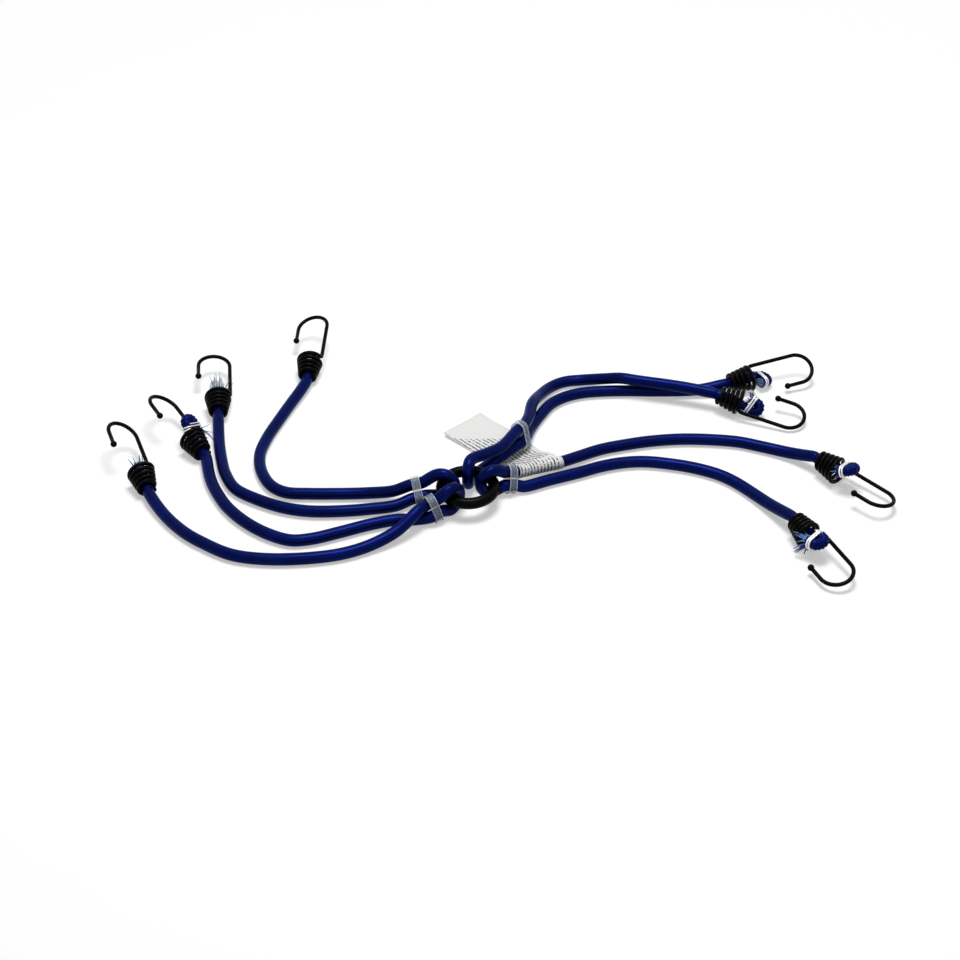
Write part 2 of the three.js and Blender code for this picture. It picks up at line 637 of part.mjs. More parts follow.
// Origin under the middle of the whole part, on the floor it lies on.
layout.updateMatrixWorld(true);
const box = new THREE.Box3().setFromObject(layout, true);
const middle = box.getCenter(new THREE.Vector3());
layout.position.set(-middle.x, -middle.y, -box.min.z);

const bungee = new THREE.Group();
bungee.add(layout);
export default bungee;
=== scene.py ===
import math
import random
from collections import namedtuple

import bpy
import numpy as np
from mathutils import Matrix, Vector


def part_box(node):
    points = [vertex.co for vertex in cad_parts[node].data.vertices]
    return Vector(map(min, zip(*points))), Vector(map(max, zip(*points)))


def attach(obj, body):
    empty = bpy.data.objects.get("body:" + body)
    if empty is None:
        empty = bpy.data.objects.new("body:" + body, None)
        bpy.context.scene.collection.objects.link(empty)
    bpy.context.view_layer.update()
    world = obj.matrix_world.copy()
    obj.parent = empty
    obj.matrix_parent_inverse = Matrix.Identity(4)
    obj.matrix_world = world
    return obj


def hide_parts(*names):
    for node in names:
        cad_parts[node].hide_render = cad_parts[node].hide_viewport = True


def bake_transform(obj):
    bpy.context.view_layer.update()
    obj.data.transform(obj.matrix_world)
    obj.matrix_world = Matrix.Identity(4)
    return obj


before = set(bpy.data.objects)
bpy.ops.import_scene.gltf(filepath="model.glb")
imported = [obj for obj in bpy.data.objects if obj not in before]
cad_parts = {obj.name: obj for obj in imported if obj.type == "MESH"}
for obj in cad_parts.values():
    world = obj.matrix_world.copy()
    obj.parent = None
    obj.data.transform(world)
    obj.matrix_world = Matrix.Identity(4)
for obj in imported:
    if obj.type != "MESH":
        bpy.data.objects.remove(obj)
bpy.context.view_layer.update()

# Sizes of the part's source, in metres.
CORD_R = 0.004
SQUEEZED_R = 0.0031
RING_R, RING_BAR_R = 0.0172, 0.0038
BAR_GAP, FIT_GAP, SEAM_GAP, FLOOR_GAP = 0.0005, 0.00035, 0.0003, 0.0001
BAND_WIDTH, BAND_WALL = 0.0054, 0.0009
WIRE_R, COIL_TURNS, COIL_PITCH = 0.0013, 5, 0.0033
COIL_BIG_R, COIL_EXIT_R, SHANK_LENGTH = 0.0084, 0.0035, 0.0285
BEND_R, RETURN_LENGTH, BALL_R = 0.011, 0.011, 0.0022
STUB_PAST_COIL, CUT_PAST_COIL = 0.0019, 0.002
CLIP_WIRE_R, CLIP_TURNS, CLIP_PITCH = 0.0006, 2, 0.0018
LABEL_WIDTH, LABEL_PAPER, FLAG_LENGTH, FLAG_LIFT, FLAG_DROP_RUN = 0.036, 0.0005, 0.073, 0.0003, 0.02
FLAG_BELOW_AXIS, PAPER_FROM_BAND, FLAG_TURN = 0.001, 0.0042, math.radians(14)
CORD_END_X = -0.00045
LEAN_X, LEAN_RUN = 0.014, 0.002
END_LEAD = 0.004
STRAIGHT_PAST_BAND = 0.0012
# The source's cords have eight sides and its coils ten steps a turn, which sets how far their corners reach.
CORNER = 1 / math.cos(math.pi / 8)
COIL_CHORD = math.cos(math.pi / 10)
BIGHT_R = RING_BAR_R + BAR_GAP + CORD_R
RING_Z = BIGHT_R + CORD_R + FLOOR_GAP
LEG_PITCH = 2 * CORD_R * CORNER + FIT_GAP
LEAD = BAND_WIDTH / 2 + STRAIGHT_PAST_BAND
COIL_SMALL_R = (SQUEEZED_R * CORNER + FIT_GAP + WIRE_R) / COIL_CHORD
COIL_LENGTH = COIL_TURNS * COIL_PITCH + 2 * WIRE_R
BEND_X = COIL_LENGTH + COIL_EXIT_R + SHANK_LENGTH
FOLD_R = SQUEEZED_R * CORNER + FIT_GAP / 2
CLIP_R = SQUEEZED_R * CORNER + FIT_GAP + CLIP_WIRE_R
CLIP_LENGTH = CLIP_TURNS * CLIP_PITCH + 2 * CLIP_WIRE_R
STUB_X = COIL_LENGTH + STUB_PAST_COIL
CLIP_X = STUB_X + FIT_GAP
FOLD_X = CLIP_X + CLIP_LENGTH + FIT_GAP
CUT_X = COIL_LENGTH + CUT_PAST_COIL
CUT_CLIP_X = COIL_LENGTH - CLIP_LENGTH - FIT_GAP

# Sizes drawn otherwise than in the source: a coated wire, tighter clips and thinner paper.
COATED_WIRE_R = 0.00136
DRAWN_CLIP_R = CLIP_R - 0.0004
PAPER_THICK = 0.0002

# How finely the pieces are drawn, in metres along a line and in steps round a turn.
CORD_STEP, FINE_STEP = 0.0012, 0.0004
CORD_SIDES, WIRE_SIDES, CLIP_SIDES, STRAND_SIDES, YARN_SIDES = 28, 16, 12, 8, 6
SPAN_SAMPLES = 32
RING_STEPS, RING_SECTION_STEPS = 144, 48
BAND_ARC_STEPS, BAND_SECTION_STEPS = 20, 16
COIL_STEPS, EXIT_STEPS, BEND_STEPS, BALL_STEPS = 40, 12, 36, 14
CLIP_ARC_STEPS, FOLD_STEPS = 16, 12
SLEEVE_ROWS, SLEEVE_COLUMNS = 25, 73
FLAG_ROWS, FLAG_COLUMNS = 61, 31

# Each cord's place on the ring, its band, and the points of its upper leg. Angles are in degrees.
Cord = namedtuple("Cord", "ring_angle band_from_bar lower_leg_z heading dip lean over_bar_from upper_leg_via")
CORDS = [
    Cord(170, (-0.0153, -0.0055), 0.006, 190, 8, 136, 60, []),
    Cord(230, (-0.0095, -0.0074), 0.0062, 208, 12.5, 112, 60, []),
    Cord(91, (0.0366, 0.0392), 0.0075, 58, 10, 70, 90, [
         (0.0223, 0.0374, 0.017), (0.0123, 0.028, 0.0186)]),
    Cord(21, (0.0118, 0.0036), 0.0062, 22, 14.5, 62, 60, []),
]
# Each arm's hook, how its cord ends there, and the chosen points of its route. A cut end has no fold, and a
# folded one has the degrees that it leans out of the cone, the way it leans, and its roll.
Arm = namedtuple("Arm", "cord leg hook_at yaw tilt roll fold route")
ARMS = [
    Arm(0, 'upper', (-0.1147, 0.1322), 86, 11, 166, None, [
         (-0.049, 0.0015, 0.008), (-0.066, 0.0036, 0.0046), (-0.084, 0.0036, 0.004),
         (-0.104, 0.0036, 0.004), (-0.12, 0.005, 0.004), (-0.13, 0.012, 0.004),
         (-0.138, 0.028, 0.004), (-0.1406, 0.046, 0.004), (-0.1376, 0.064, 0.004),
         (-0.1304, 0.087, 0.004), (-0.1229, 0.108, 0.0046)]),
    Arm(0, 'lower', (-0.1728, 0.0875), 96, 5, 186, None, [
         (-0.047, -0.009, 0.0042), (-0.064, -0.0124, 0.004), (-0.083, -0.0146, 0.004),
         (-0.104, -0.0146, 0.004), (-0.1206, -0.0108, 0.004), (-0.1388, -0.002, 0.004),
         (-0.1534, 0.0088, 0.004), (-0.1614, 0.024, 0.004), (-0.1666, 0.043, 0.004),
         (-0.1698, 0.06, 0.0042)]),
    Arm(1, 'upper', (-0.2102, 0.0037), 113, 12, 213, None, [
         (-0.0325, -0.0267, 0.0133), (-0.045, -0.039, 0.0078), (-0.062, -0.0498, 0.0046),
         (-0.081, -0.058, 0.004), (-0.106, -0.0624, 0.004), (-0.131, -0.0624, 0.004),
         (-0.15, -0.0582, 0.004), (-0.1685, -0.047, 0.004), (-0.185, -0.0336, 0.004),
         (-0.1972, -0.0188, 0.0044)]),
    Arm(1, 'lower', (-0.1778, 0.0428), 125, 11, 211, (30, 243, 181), [
         (-0.035, -0.0235, 0.0042), (-0.046, -0.0235, 0.004), (-0.063, -0.0283, 0.004),
         (-0.082, -0.0361, 0.004), (-0.1, -0.0428, 0.004), (-0.113, -0.0442, 0.004),
         (-0.128, -0.0379, 0.004), (-0.144, -0.0255, 0.004), (-0.1578, -0.0092, 0.004),
         (-0.1672, 0.008, 0.004), (-0.173, 0.0235, 0.0046)]),
    Arm(2, 'upper', (0.1728, 0.1045), -22, -7, 195, (18, 56, 37), [
         (0.041, 0.076, 0.0133), (0.044, 0.0947, 0.0115), (0.05, 0.112, 0.0065),
         (0.058, 0.125, 0.004), (0.068, 0.1314, 0.004), (0.08, 0.133, 0.0044),
         (0.095, 0.1283, 0.0088), (0.107, 0.1228, 0.0131), (0.118, 0.1198, 0.0132),
         (0.132, 0.1164, 0.0132), (0.147, 0.113, 0.0132)]),
    Arm(2, 'lower', (0.1828, 0.1241), 17, 5, 28, (28, 287, 338), [
         (0.0425, 0.0755, 0.004), (0.0498, 0.0915, 0.004), (0.0575, 0.1045, 0.004),
         (0.067, 0.1126, 0.004), (0.079, 0.1176, 0.004), (0.094, 0.1198, 0.004),
         (0.112, 0.1204, 0.004), (0.13, 0.12, 0.004), (0.147, 0.1202, 0.004),
         (0.163, 0.1198, 0.0048)]),
    Arm(3, 'upper', (0.2332, 0.0328), -46, -2.5, -11, (31, 74, 0), [
         (0.04, 0.0222, 0.0102), (0.05, 0.0284, 0.0082), (0.0618, 0.035, 0.0062),
         (0.0754, 0.0442, 0.0044), (0.089, 0.0516, 0.004), (0.106, 0.057, 0.004),
         (0.124, 0.0612, 0.004), (0.145, 0.0635, 0.004), (0.166, 0.0628, 0.004),
         (0.185, 0.06, 0.004), (0.202, 0.0538, 0.0041), (0.2138, 0.0485, 0.0044),
         (0.2232, 0.043, 0.0058)]),
    Arm(3, 'lower', (0.2094, -0.0316), -64, -3.5, 11, (24, 40, 0), [
         (0.037, 0.0112, 0.0041), (0.054, 0.0184, 0.004), (0.074, 0.0264, 0.004),
         (0.089, 0.033, 0.004), (0.104, 0.0372, 0.004), (0.118, 0.0383, 0.004),
         (0.134, 0.036, 0.004), (0.152, 0.031, 0.004), (0.168, 0.0232, 0.004),
         (0.1805, 0.0122, 0.004), (0.19, 0.0005, 0.0043), (0.198, -0.012, 0.0058)]),
]
LABELLED_ARM = 6
UP = np.array((0.0, 0.0, 1.0))

# The layout is written from the middle of the ring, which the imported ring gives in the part's frame.
ring_low, ring_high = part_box("center_ring")
RING_AT = np.array(((ring_low.x + ring_high.x) / 2, (ring_low.y + ring_high.y) / 2, 0.0))


# Materials.
def grey(value):
    return (value, value, value)


class Shader:
    """A new material, with short ways to add and join its nodes."""

    def __init__(self, name, **settings):
        self.material = bpy.data.materials.new(name)
        self.material.use_nodes = True
        self.tree = self.material.node_tree
        self.surface = self.tree.nodes["Principled BSDF"]
        for key, value in settings.items():
            self.surface.inputs[key.replace("_", " ")].default_value = value

    def node(self, kind, **settings):
        made = self.tree.nodes.new(kind)
        for key, value in settings.items():
            setattr(made, key, value)
        return made

    def put(self, socket, value):
        if isinstance(value, bpy.types.NodeSocket):
            self.tree.links.new(value, socket)
        else:
            socket.default_value = value

    def math(self, operation, a, b=0.0):
        made = self.node("ShaderNodeMath", operation=operation)
        self.put(made.inputs[0], a)
        self.put(made.inputs[1], b)
        return made.outputs[0]

    def mix(self, share, a, b):
        made = self.node("ShaderNodeMix", data_type="FLOAT")
        self.put(made.inputs[0], share)
        self.put(made.inputs[2], a)
        self.put(made.inputs[3], b)
        return made.outputs[0]

    def ramp(self, share, stops):
        made = self.node("ShaderNodeValToRGB")
        while len(made.color_ramp.elements) < len(stops):
            made.color_ramp.elements.new(0.5)
        for element, (place, colour) in zip(made.color_ramp.elements, stops):
            element.position = place
            element.color = (*colour, 1)
        self.put(made.inputs[0], share)
        return made.outputs[0]

    def noise(self, scale, detail=3.0, roughness=0.5):
        place = self.node("ShaderNodeTexCoord").outputs["Object"]
        made = self.node("ShaderNodeTexNoise")
        self.put(made.inputs["Vector"], place)
        for key, value in (("Scale", scale), ("Detail", detail), ("Roughness", roughness)):
            made.inputs[key].default_value = value
        return made.outputs[0]

    def texture_place(self):
        """A piece's texture directions, across it and along it."""
        made = self.node("ShaderNodeSeparateXYZ")
        self.put(made.inputs[0], self.node("ShaderNodeUVMap", uv_map="along").outputs[0])
        return made.outputs[0], made.outputs[1]

    def bump(self, height, strength, distance):
        made = self.node("ShaderNodeBump")
        made.inputs["Strength"].default_value = strength
        made.inputs["Distance"].default_value = distance
        self.put(made.inputs["Height"], height)
        self.tree.links.new(made.outputs[0], self.surface.inputs["Normal"])

    def colour(self, value):
        self.put(self.surface.inputs["Base Color"], value)

    def roughness(self, value):
        self.put(self.surface.inputs["Roughness"], value)


# Braid: its yarns, its colour with painted shade in the valleys between yarns and a waver in patches, and its
# gloss and relief.
YARNS, BRAID_SLOPE, FILAMENTS, FILAMENT_RELIEF = 12, 0.95, 4, 0.12
BLUE_PAINTED_VALLEY_SHADE, BLUE_YARN_CROWN = (0.0001, 0.0003, 0.003), (0.0016, 0.0095, 0.165)
BRAID_PATCH_SCALE, BRAID_PATCH_SHARE = 60.0, 0.5
SHADE_AND_TONE_SHARE, SHADE_AND_TONE_DARK, SHADE_AND_TONE_LIGHT = 0.7, 0.45, 0.95
VALLEY_ROUGHNESS, CROWN_ROUGHNESS = 0.38, 0.23
BRAID_RELIEF, BRAID_DEPTH = 0.5, 0.00006


def braid_material(name):
    """Braided sheath: two families of flat yarns cross over and under, each of a few filaments."""
    shader = Shader(name, Metallic=0.5, Specular_IOR_Level=0.1, Specular_Tint=(0.4, 0.55, 0.9, 1.0))
    across, along = shader.texture_place()
    u = shader.math("MULTIPLY", across, YARNS)
    v = shader.math("MULTIPLY", along, YARNS * BRAID_SLOPE)
    heights = []
    floors = []
    for operation in ("ADD", "SUBTRACT"):
        place = shader.math(operation, u, v)
        part = shader.math("FRACT", place)
        crown = shader.math("SINE", shader.math("MULTIPLY", part, math.pi))
        filaments = shader.math("SINE", shader.math("MULTIPLY", part, FILAMENTS * 2 * math.pi))
        heights.append(shader.math("ADD", crown, shader.math("MULTIPLY", filaments, FILAMENT_RELIEF)))
        floors.append(shader.math("FLOOR", place))
    parity = shader.math("FLOORED_MODULO", shader.math("ADD", *floors), 2.0)
    height = shader.mix(parity, *heights)
    patches = shader.math("MULTIPLY", shader.noise(BRAID_PATCH_SCALE), BRAID_PATCH_SHARE)
    valley_shade_and_tone = shader.math("MULTIPLY", shader.math("ADD", height, patches), SHADE_AND_TONE_SHARE)
    # Painted shade: the colour runs from near black in the valleys between yarns to the yarn's blue on the
    # crowns, and wavers at random in patches.
    shader.colour(shader.ramp(valley_shade_and_tone, [(SHADE_AND_TONE_DARK, BLUE_PAINTED_VALLEY_SHADE), (SHADE_AND_TONE_LIGHT, BLUE_YARN_CROWN)]))
    shader.roughness(shader.ramp(height, [(0.0, grey(VALLEY_ROUGHNESS)), (1.0, grey(CROWN_ROUGHNESS))]))
    shader.bump(height, BRAID_RELIEF, BRAID_DEPTH)
    return shader.material


PATCH_LOW, PATCH_HIGH = 0.3, 0.7


def plain_material(name, dark, light, scale, rough, relief, **settings):
    """A finish whose colour, gloss and relief all waver a little.

    relief is its strength, its depth in metres, and how much finer it is than the patches of colour.
    """
    shader = Shader(name, **settings)
    patches = shader.noise(scale, detail=4.0, roughness=0.6)
    strength, depth, finer = relief
    shader.colour(shader.ramp(patches, [(PATCH_LOW, dark), (PATCH_HIGH, light)]))
    shader.roughness(shader.ramp(patches, [(PATCH_LOW, grey(rough[0])), (PATCH_HIGH, grey(rough[1]))]))
    shader.bump(shader.noise(scale * finer, detail=3.0, roughness=0.6), strength, depth)
    return shader.material


COATING_DARK, COATING_LIGHT = (0.0006, 0.0006, 0.0007), (0.0012, 0.0012, 0.0013)
CORD_BLUE = braid_material("cord_braid")
THREAD_BLUE = plain_material(
    "frayed_thread", (0.004, 0.012, 0.14), (0.02, 0.08, 0.42),
    scale=900, rough=(0.5, 0.7), relief=(0.2, 0.0001, 3), Sheen_Weight=0.3)
THREAD_PALE = plain_material(
    "frayed_thread_pale", (0.03, 0.11, 0.42), (0.15, 0.36, 0.72),
    scale=900, rough=(0.5, 0.7), relief=(0.2, 0.0001, 3), Sheen_Weight=0.3)
RUBBER = plain_material(
    "rubber_strand", (0.7, 0.7, 0.68), (0.88, 0.88, 0.86),
    scale=500, rough=(0.55, 0.75), relief=(0.25, 0.0002, 3), Subsurface_Weight=0.15)
RING_BLACK = plain_material(
    "ring_moulding", COATING_DARK, COATING_LIGHT,
    scale=120, rough=(0.18, 0.28), relief=(0.1, 0.0001, 6), Specular_IOR_Level=0.035)
HOOK_BLACK = plain_material(
    "hook_coating", COATING_DARK, COATING_LIGHT,
    scale=220, rough=(0.2, 0.3), relief=(0.08, 0.0001, 2), Specular_IOR_Level=0.04)
CLIP_METAL = plain_material(
    "clip_wire", (0.72, 0.72, 0.72), (0.9, 0.9, 0.89),
    scale=300, rough=(0.25, 0.42), relief=(0.25, 0.0001, 3), Metallic=0.75)
CLEAR = plain_material(
    "clear_strip", (0.5, 0.6, 0.7), (0.6, 0.7, 0.8),
    scale=90, rough=(0.08, 0.16), relief=(0.12, 0.0002, 2), Alpha=0.2)
# Painted highlight: a pale, nearly opaque finish for the clear strips' edges, standing for their bright rims.
CLEAR_RIM_HIGHLIGHT = plain_material(
    "clear_strip_painted_rim_highlight", (0.8, 0.82, 0.84), (0.92, 0.93, 0.94),
    scale=300, rough=(0.3, 0.5), relief=(0.2, 0.0001, 3), Alpha=0.9)

# Paper: half a ruled line's height in rows, what breaks the lines and ends them, and the paper's tones.
LINE_HALF, LINE_BREAK, LINE_MARGIN, ROW_SHIFT = 0.17, 0.45, 0.94, 7.3
FIBRE_SCALE, FIBRE_SHARE, PAPER_TONE = 900.0, 0.3, 0.6
PAPER_STOPS = [(0.1, grey(0.03)), (0.6, (0.78, 0.78, 0.77)), (0.9, (0.87, 0.87, 0.86))]
PAPER_GLOSS = [(0.3, grey(0.42)), (0.7, grey(0.58))]
PAPER_WAVES, PAPER_RELIEF, PAPER_DEPTH = 160.0, 0.15, 0.0003


def paper_material(name, across, rows, dashes, first, last, slant):
    """Coated paper with broken ruled lines between two places of its length, and no words.

    across is the texture direction that counts the rows, and slant ends the lines along a slope.
    """
    shader = Shader(name, Specular_IOR_Level=0.3)
    fibres = shader.noise(FIBRE_SCALE, detail=5.0, roughness=0.7)
    place = shader.texture_place()
    wide, long = place[across], place[1 - across]
    row = shader.math("MULTIPLY", wide, rows)
    off_line = shader.math("ABSOLUTE", shader.math("SUBTRACT", shader.math("FRACT", row), 0.5))
    at = shader.node("ShaderNodeCombineXYZ")
    shader.put(at.inputs[0], shader.math("MULTIPLY", long, dashes))
    shader.put(at.inputs[1], shader.math("MULTIPLY", shader.math("FLOOR", row), ROW_SHIFT))
    broken = shader.node("ShaderNodeTexNoise")
    shader.put(broken.inputs["Vector"], at.outputs[0])
    broken.inputs["Scale"].default_value = 1.0
    sloped = shader.math("ADD", long, shader.math("MULTIPLY", wide, slant))
    ink = shader.math("LESS_THAN", off_line, LINE_HALF)
    tests = (
        ("GREATER_THAN", broken.outputs[0], LINE_BREAK),
        ("GREATER_THAN", long, first),
        ("LESS_THAN", sloped, last),
        ("LESS_THAN", wide, LINE_MARGIN))
    for test in tests:
        ink = shader.math("MULTIPLY", ink, shader.math(*test))
    bare = shader.math("ADD", shader.math("MULTIPLY", fibres, FIBRE_SHARE), PAPER_TONE)
    shader.colour(shader.ramp(shader.math("SUBTRACT", bare, ink), PAPER_STOPS))
    shader.roughness(shader.ramp(fibres, PAPER_GLOSS))
    shader.bump(shader.noise(PAPER_WAVES), PAPER_RELIEF, PAPER_DEPTH)
    return shader.material


FLAG_PAPER = paper_material("label_paper", across=0, rows=13, dashes=60, first=0.05, last=0.9, slant=0.45)
SLEEVE_PAPER = paper_material(
    "label_paper_wrapped", across=1, rows=13, dashes=22, first=-1.0, last=2.0, slant=0.0)


# Lines.
def unit(vector):
    return np.asarray(vector, float) / np.linalg.norm(vector)


def eased(share):
    """Zero to one without a kink at either end."""
    share = np.clip(share, 0, 1)
    return share * share * (3 - 2 * share)


def reach_along(line):
    """How far along the line each of its points lies."""
    return np.concatenate([[0], np.cumsum(np.linalg.norm(np.diff(line, axis=0), axis=1))])


def length_of(line):
    return float(reach_along(line)[-1])


def even_reach(line):
    """How far along a line of even steps each of its points lies."""
    return np.arange(len(line)) * length_of(line) / (len(line) - 1)


def points_at(line, places):
    """Points at the given distances along the line."""
    along = reach_along(line)
    return np.stack([np.interp(places, along, line[:, axis]) for axis in range(3)], axis=1)


def stepped(line, step):
    """The line again, with points at even steps."""
    length = length_of(line)
    return points_at(line, np.linspace(0, length, max(2, math.ceil(length / step) + 1)))


def smooth_line(points, step):
    """A centripetal Catmull-Rom curve through the points, at even steps."""
    inner = np.array(points, float)
    p = np.vstack([2 * inner[0] - inner[1], inner, 2 * inner[-1] - inner[-2]])
    share = np.linspace(0, 1, SPAN_SAMPLES, endpoint=False)[:, None]
    pieces = []
    for a, b, c, d in zip(p, p[1:], p[2:], p[3:]):
        ab, bc, cd = (math.sqrt(np.linalg.norm(q - r)) for q, r in ((a, b), (b, c), (c, d)))
        out = ((b - a) / ab - (c - a) / (ab + bc) + (c - b) / bc) * bc
        back = ((c - b) / bc - (d - b) / (bc + cd) + (d - c) / cd) * bc
        s2, s3 = share ** 2, share ** 3
        pieces.append((2 * s3 - 3 * s2 + 1) * b + (s3 - 2 * s2 + share) * out
                      + (3 * s2 - 2 * s3) * c + (s3 - s2) * back)
    pieces.append(p[-2:-1])
    return stepped(np.vstack(pieces), step)


def softened(line, passes):
    """The line with its kinks smoothed away, and both ends as they were."""
    soft = line.copy()
    for _ in range(passes):
        soft[3:-3] = (soft[2:-4] + 2 * soft[3:-3] + soft[4:-2]) / 4
    return soft


def bent(start, ahead, towards, length, degrees, steps=8):
    """A line that leaves start straight ahead and bends evenly towards a side."""
    points = [np.array(start, float)]
    for i in range(steps):
        turn = math.radians(degrees) * (i + 0.5) / steps
        points.append(points[-1] + (ahead * math.cos(turn) + towards * math.sin(turn)) * length / steps)
    return np.array(points)


def directions(line):
    ahead = np.gradient(line, axis=0)
    return ahead / np.linalg.norm(ahead, axis=1)[:, None]


def carried(line, first):
    """Directions across the line, carried along it without twist from the first one."""
    ahead = directions(line)
    across = [unit(first - ahead[0] * np.dot(first, ahead[0]))]
    for tangent in ahead[1:]:
        across.append(unit(across[-1] - tangent * np.dot(across[-1], tangent)))
    return ahead, np.array(across)


def turned(yaw, tilt, roll):
    """Roll about X, then tilt up, then yaw, as a rotation matrix."""
    z, y, x = math.radians(yaw), -math.radians(tilt), math.radians(roll)
    about_z = np.array([[math.cos(z), -math.sin(z), 0], [math.sin(z), math.cos(z), 0], [0, 0, 1]])
    about_y = np.array([[math.cos(y), 0, math.sin(y)], [0, 1, 0], [-math.sin(y), 0, math.cos(y)]])
    about_x = np.array([[1, 0, 0], [0, math.cos(x), -math.sin(x)], [0, math.sin(x), math.cos(x)]])
    return about_z @ about_y @ about_x


def placed(points, matrix):
    return np.asarray(points) @ matrix[:3, :3].T + matrix[:3, 3]


# Surfaces.
CAP_TEXTURE_R = 0.1


def mesh_object(name, points, faces, uvs, materials, flat=(), material_of=None):
    mesh = bpy.data.meshes.new(name)
    mesh.from_pydata(np.asarray(points).tolist(), [], faces)
    layer = mesh.uv_layers.new(name="along")
    layer.data.foreach_set("uv", np.asarray(uvs, np.float32).ravel())
    smooth = np.ones(len(faces), bool)
    smooth[list(flat)] = False
    mesh.polygons.foreach_set("use_smooth", smooth)
    for material in materials:
        mesh.materials.append(material)
    if material_of is not None:
        mesh.polygons.foreach_set("material_index", material_of)
    mesh.validate()
    made = bpy.data.objects.new(name, mesh)
    bpy.context.scene.collection.objects.link(made)
    return made


def closed_grid(around, section):
    """Faces and texture places of a ring of closed sections."""
    faces, uvs = [], []
    for i in range(around):
        for k in range(section):
            m, n = (i + 1) % around, (k + 1) % section
            faces.append((i * section + k, m * section + k, m * section + n, i * section + n))
            u, v = i / around, k / section
            uvs += [(u, v), (u + 1 / around, v), (u + 1 / around, v + 1 / section), (u, v + 1 / section)]
    return faces, uvs


class Surface:
    """Points, faces and texture places of one piece, gathered from its tubes."""

    def __init__(self):
        self.points, self.faces, self.uvs, self.flat, self.kinds = [], [], [], [], []

    def tube(self, line, radii, sides, first=UP, section=(1.0, 1.0), kind=0):
        """A closed tube. section scales it along and across the carried direction."""
        line = np.asarray(line, float)
        radii = np.broadcast_to(np.asarray(radii, float), len(line))
        ahead, across = carried(line, np.asarray(first, float))
        third = np.cross(ahead, across)
        angle = np.arange(sides) / sides * 2 * math.pi
        rings = (line[:, None] + radii[:, None, None] * (
            section[0] * np.cos(angle)[None, :, None] * across[:, None]
            + section[1] * np.sin(angle)[None, :, None] * third[:, None]))
        base = len(self.points)
        self.points.extend(rings.reshape(-1, 3))
        along = reach_along(line) / (2 * math.pi * float(np.median(radii)))
        for i in range(len(line) - 1):
            row, above = base + i * sides, base + (i + 1) * sides
            low, high = along[i], along[i + 1]
            for k in range(sides):
                n = (k + 1) % sides
                left, right = k / sides, (k + 1) / sides
                self.faces.append((row + k, row + n, above + n, above + k))
                self.uvs += [(left, low), (right, low), (right, high), (left, high)]
                self.kinds.append(kind)
        last = base + (len(line) - 1) * sides
        for ring in (range(base + sides - 1, base - 1, -1), range(last, last + sides)):
            self.flat.append(len(self.faces))
            self.faces.append(tuple(ring))
            self.uvs += [(0.5 + CAP_TEXTURE_R * math.cos(a), CAP_TEXTURE_R * math.sin(a)) for a in angle]
            self.kinds.append(kind)

    def sheet(self, top, bottom):
        """A thin closed sheet between two grids of points of one shape."""
        rows, columns = top.shape[:2]
        base = len(self.points)
        self.points.extend(top.reshape(-1, 3))
        self.points.extend(bottom.reshape(-1, 3))
        under = rows * columns

        def place(i, k):
            return (k / (columns - 1), i / (rows - 1))

        def face(corners, shift, turn):
            order = corners[::-1] if turn else corners
            self.faces.append(tuple(base + shift + i * columns + k for i, k in order))
            self.uvs.extend(place(i, k) for i, k in order)
            self.kinds.append(0)

        for i in range(rows - 1):
            for k in range(columns - 1):
                corners = [(i, k), (i, k + 1), (i + 1, k + 1), (i + 1, k)]
                face(corners, 0, False)
                face(corners, under, True)
        rim = [(0, k) for k in range(columns)]
        rim += [(i, columns - 1) for i in range(1, rows)]
        rim += [(rows - 1, k) for k in range(columns - 2, -1, -1)]
        rim += [(i, 0) for i in range(rows - 2, 0, -1)]
        for (i, k), (m, n) in zip(rim, rim[1:] + rim[:1]):
            self.flat.append(len(self.faces))
            a, b = base + i * columns + k, base + m * columns + n
            self.faces.append((a, a + under, b + under, b))
            self.uvs += [place(i, k), place(i, k), place(m, n), place(m, n)]
            self.kinds.append(0)

    def moved(self, matrix):
        self.points = list(placed(np.array(self.points), matrix))
        return self

    def piece(self, name, *materials):
        return mesh_object(name, self.points, self.faces, self.uvs, materials, self.flat, self.kinds)


def ride(piece, body, node=None):
    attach(piece, body)
    if node:
        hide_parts(node)
    return piece


# Ring, cords and bands.
PARTING_RIDGE, RIDGE_SPREAD = 0.00018, 0.06
OVER_BAR_TO, OVER_BAR_STEP, BIGHT_PASSES = 270, 30, 50
EASED_LENGTH, EASED_FADE, ARM_PASSES = 0.06, 0.02, 120
ARM_SQUEEZE, ARM_SQUEEZE_RUN = 0.0003, 0.007
BAND_SQUARENESS, RIM_HIGHLIGHT_FROM = 0.35, 0.7
Plan = namedtuple("Plan", "outward bar along pair upper lower middle")


def ring_piece():
    """Moulded ring: a round bar with the fine ridge of its parting line round both edges."""
    points = []
    for i in range(RING_STEPS):
        turn = i / RING_STEPS * 2 * math.pi
        outward = np.array((math.cos(turn), math.sin(turn), 0.0))
        for k in range(RING_SECTION_STEPS):
            angle = k / RING_SECTION_STEPS * 2 * math.pi
            radius = RING_BAR_R + PARTING_RIDGE * math.exp(-(math.sin(angle) / RIDGE_SPREAD) ** 2)
            points.append(RING_AT + UP * (RING_Z + radius * math.sin(angle))
                          + outward * (RING_R + radius * math.cos(angle)))
    faces, uvs = closed_grid(RING_STEPS, RING_SECTION_STEPS)
    return mesh_object("moulded_ring", points, faces, uvs, [RING_BLACK])


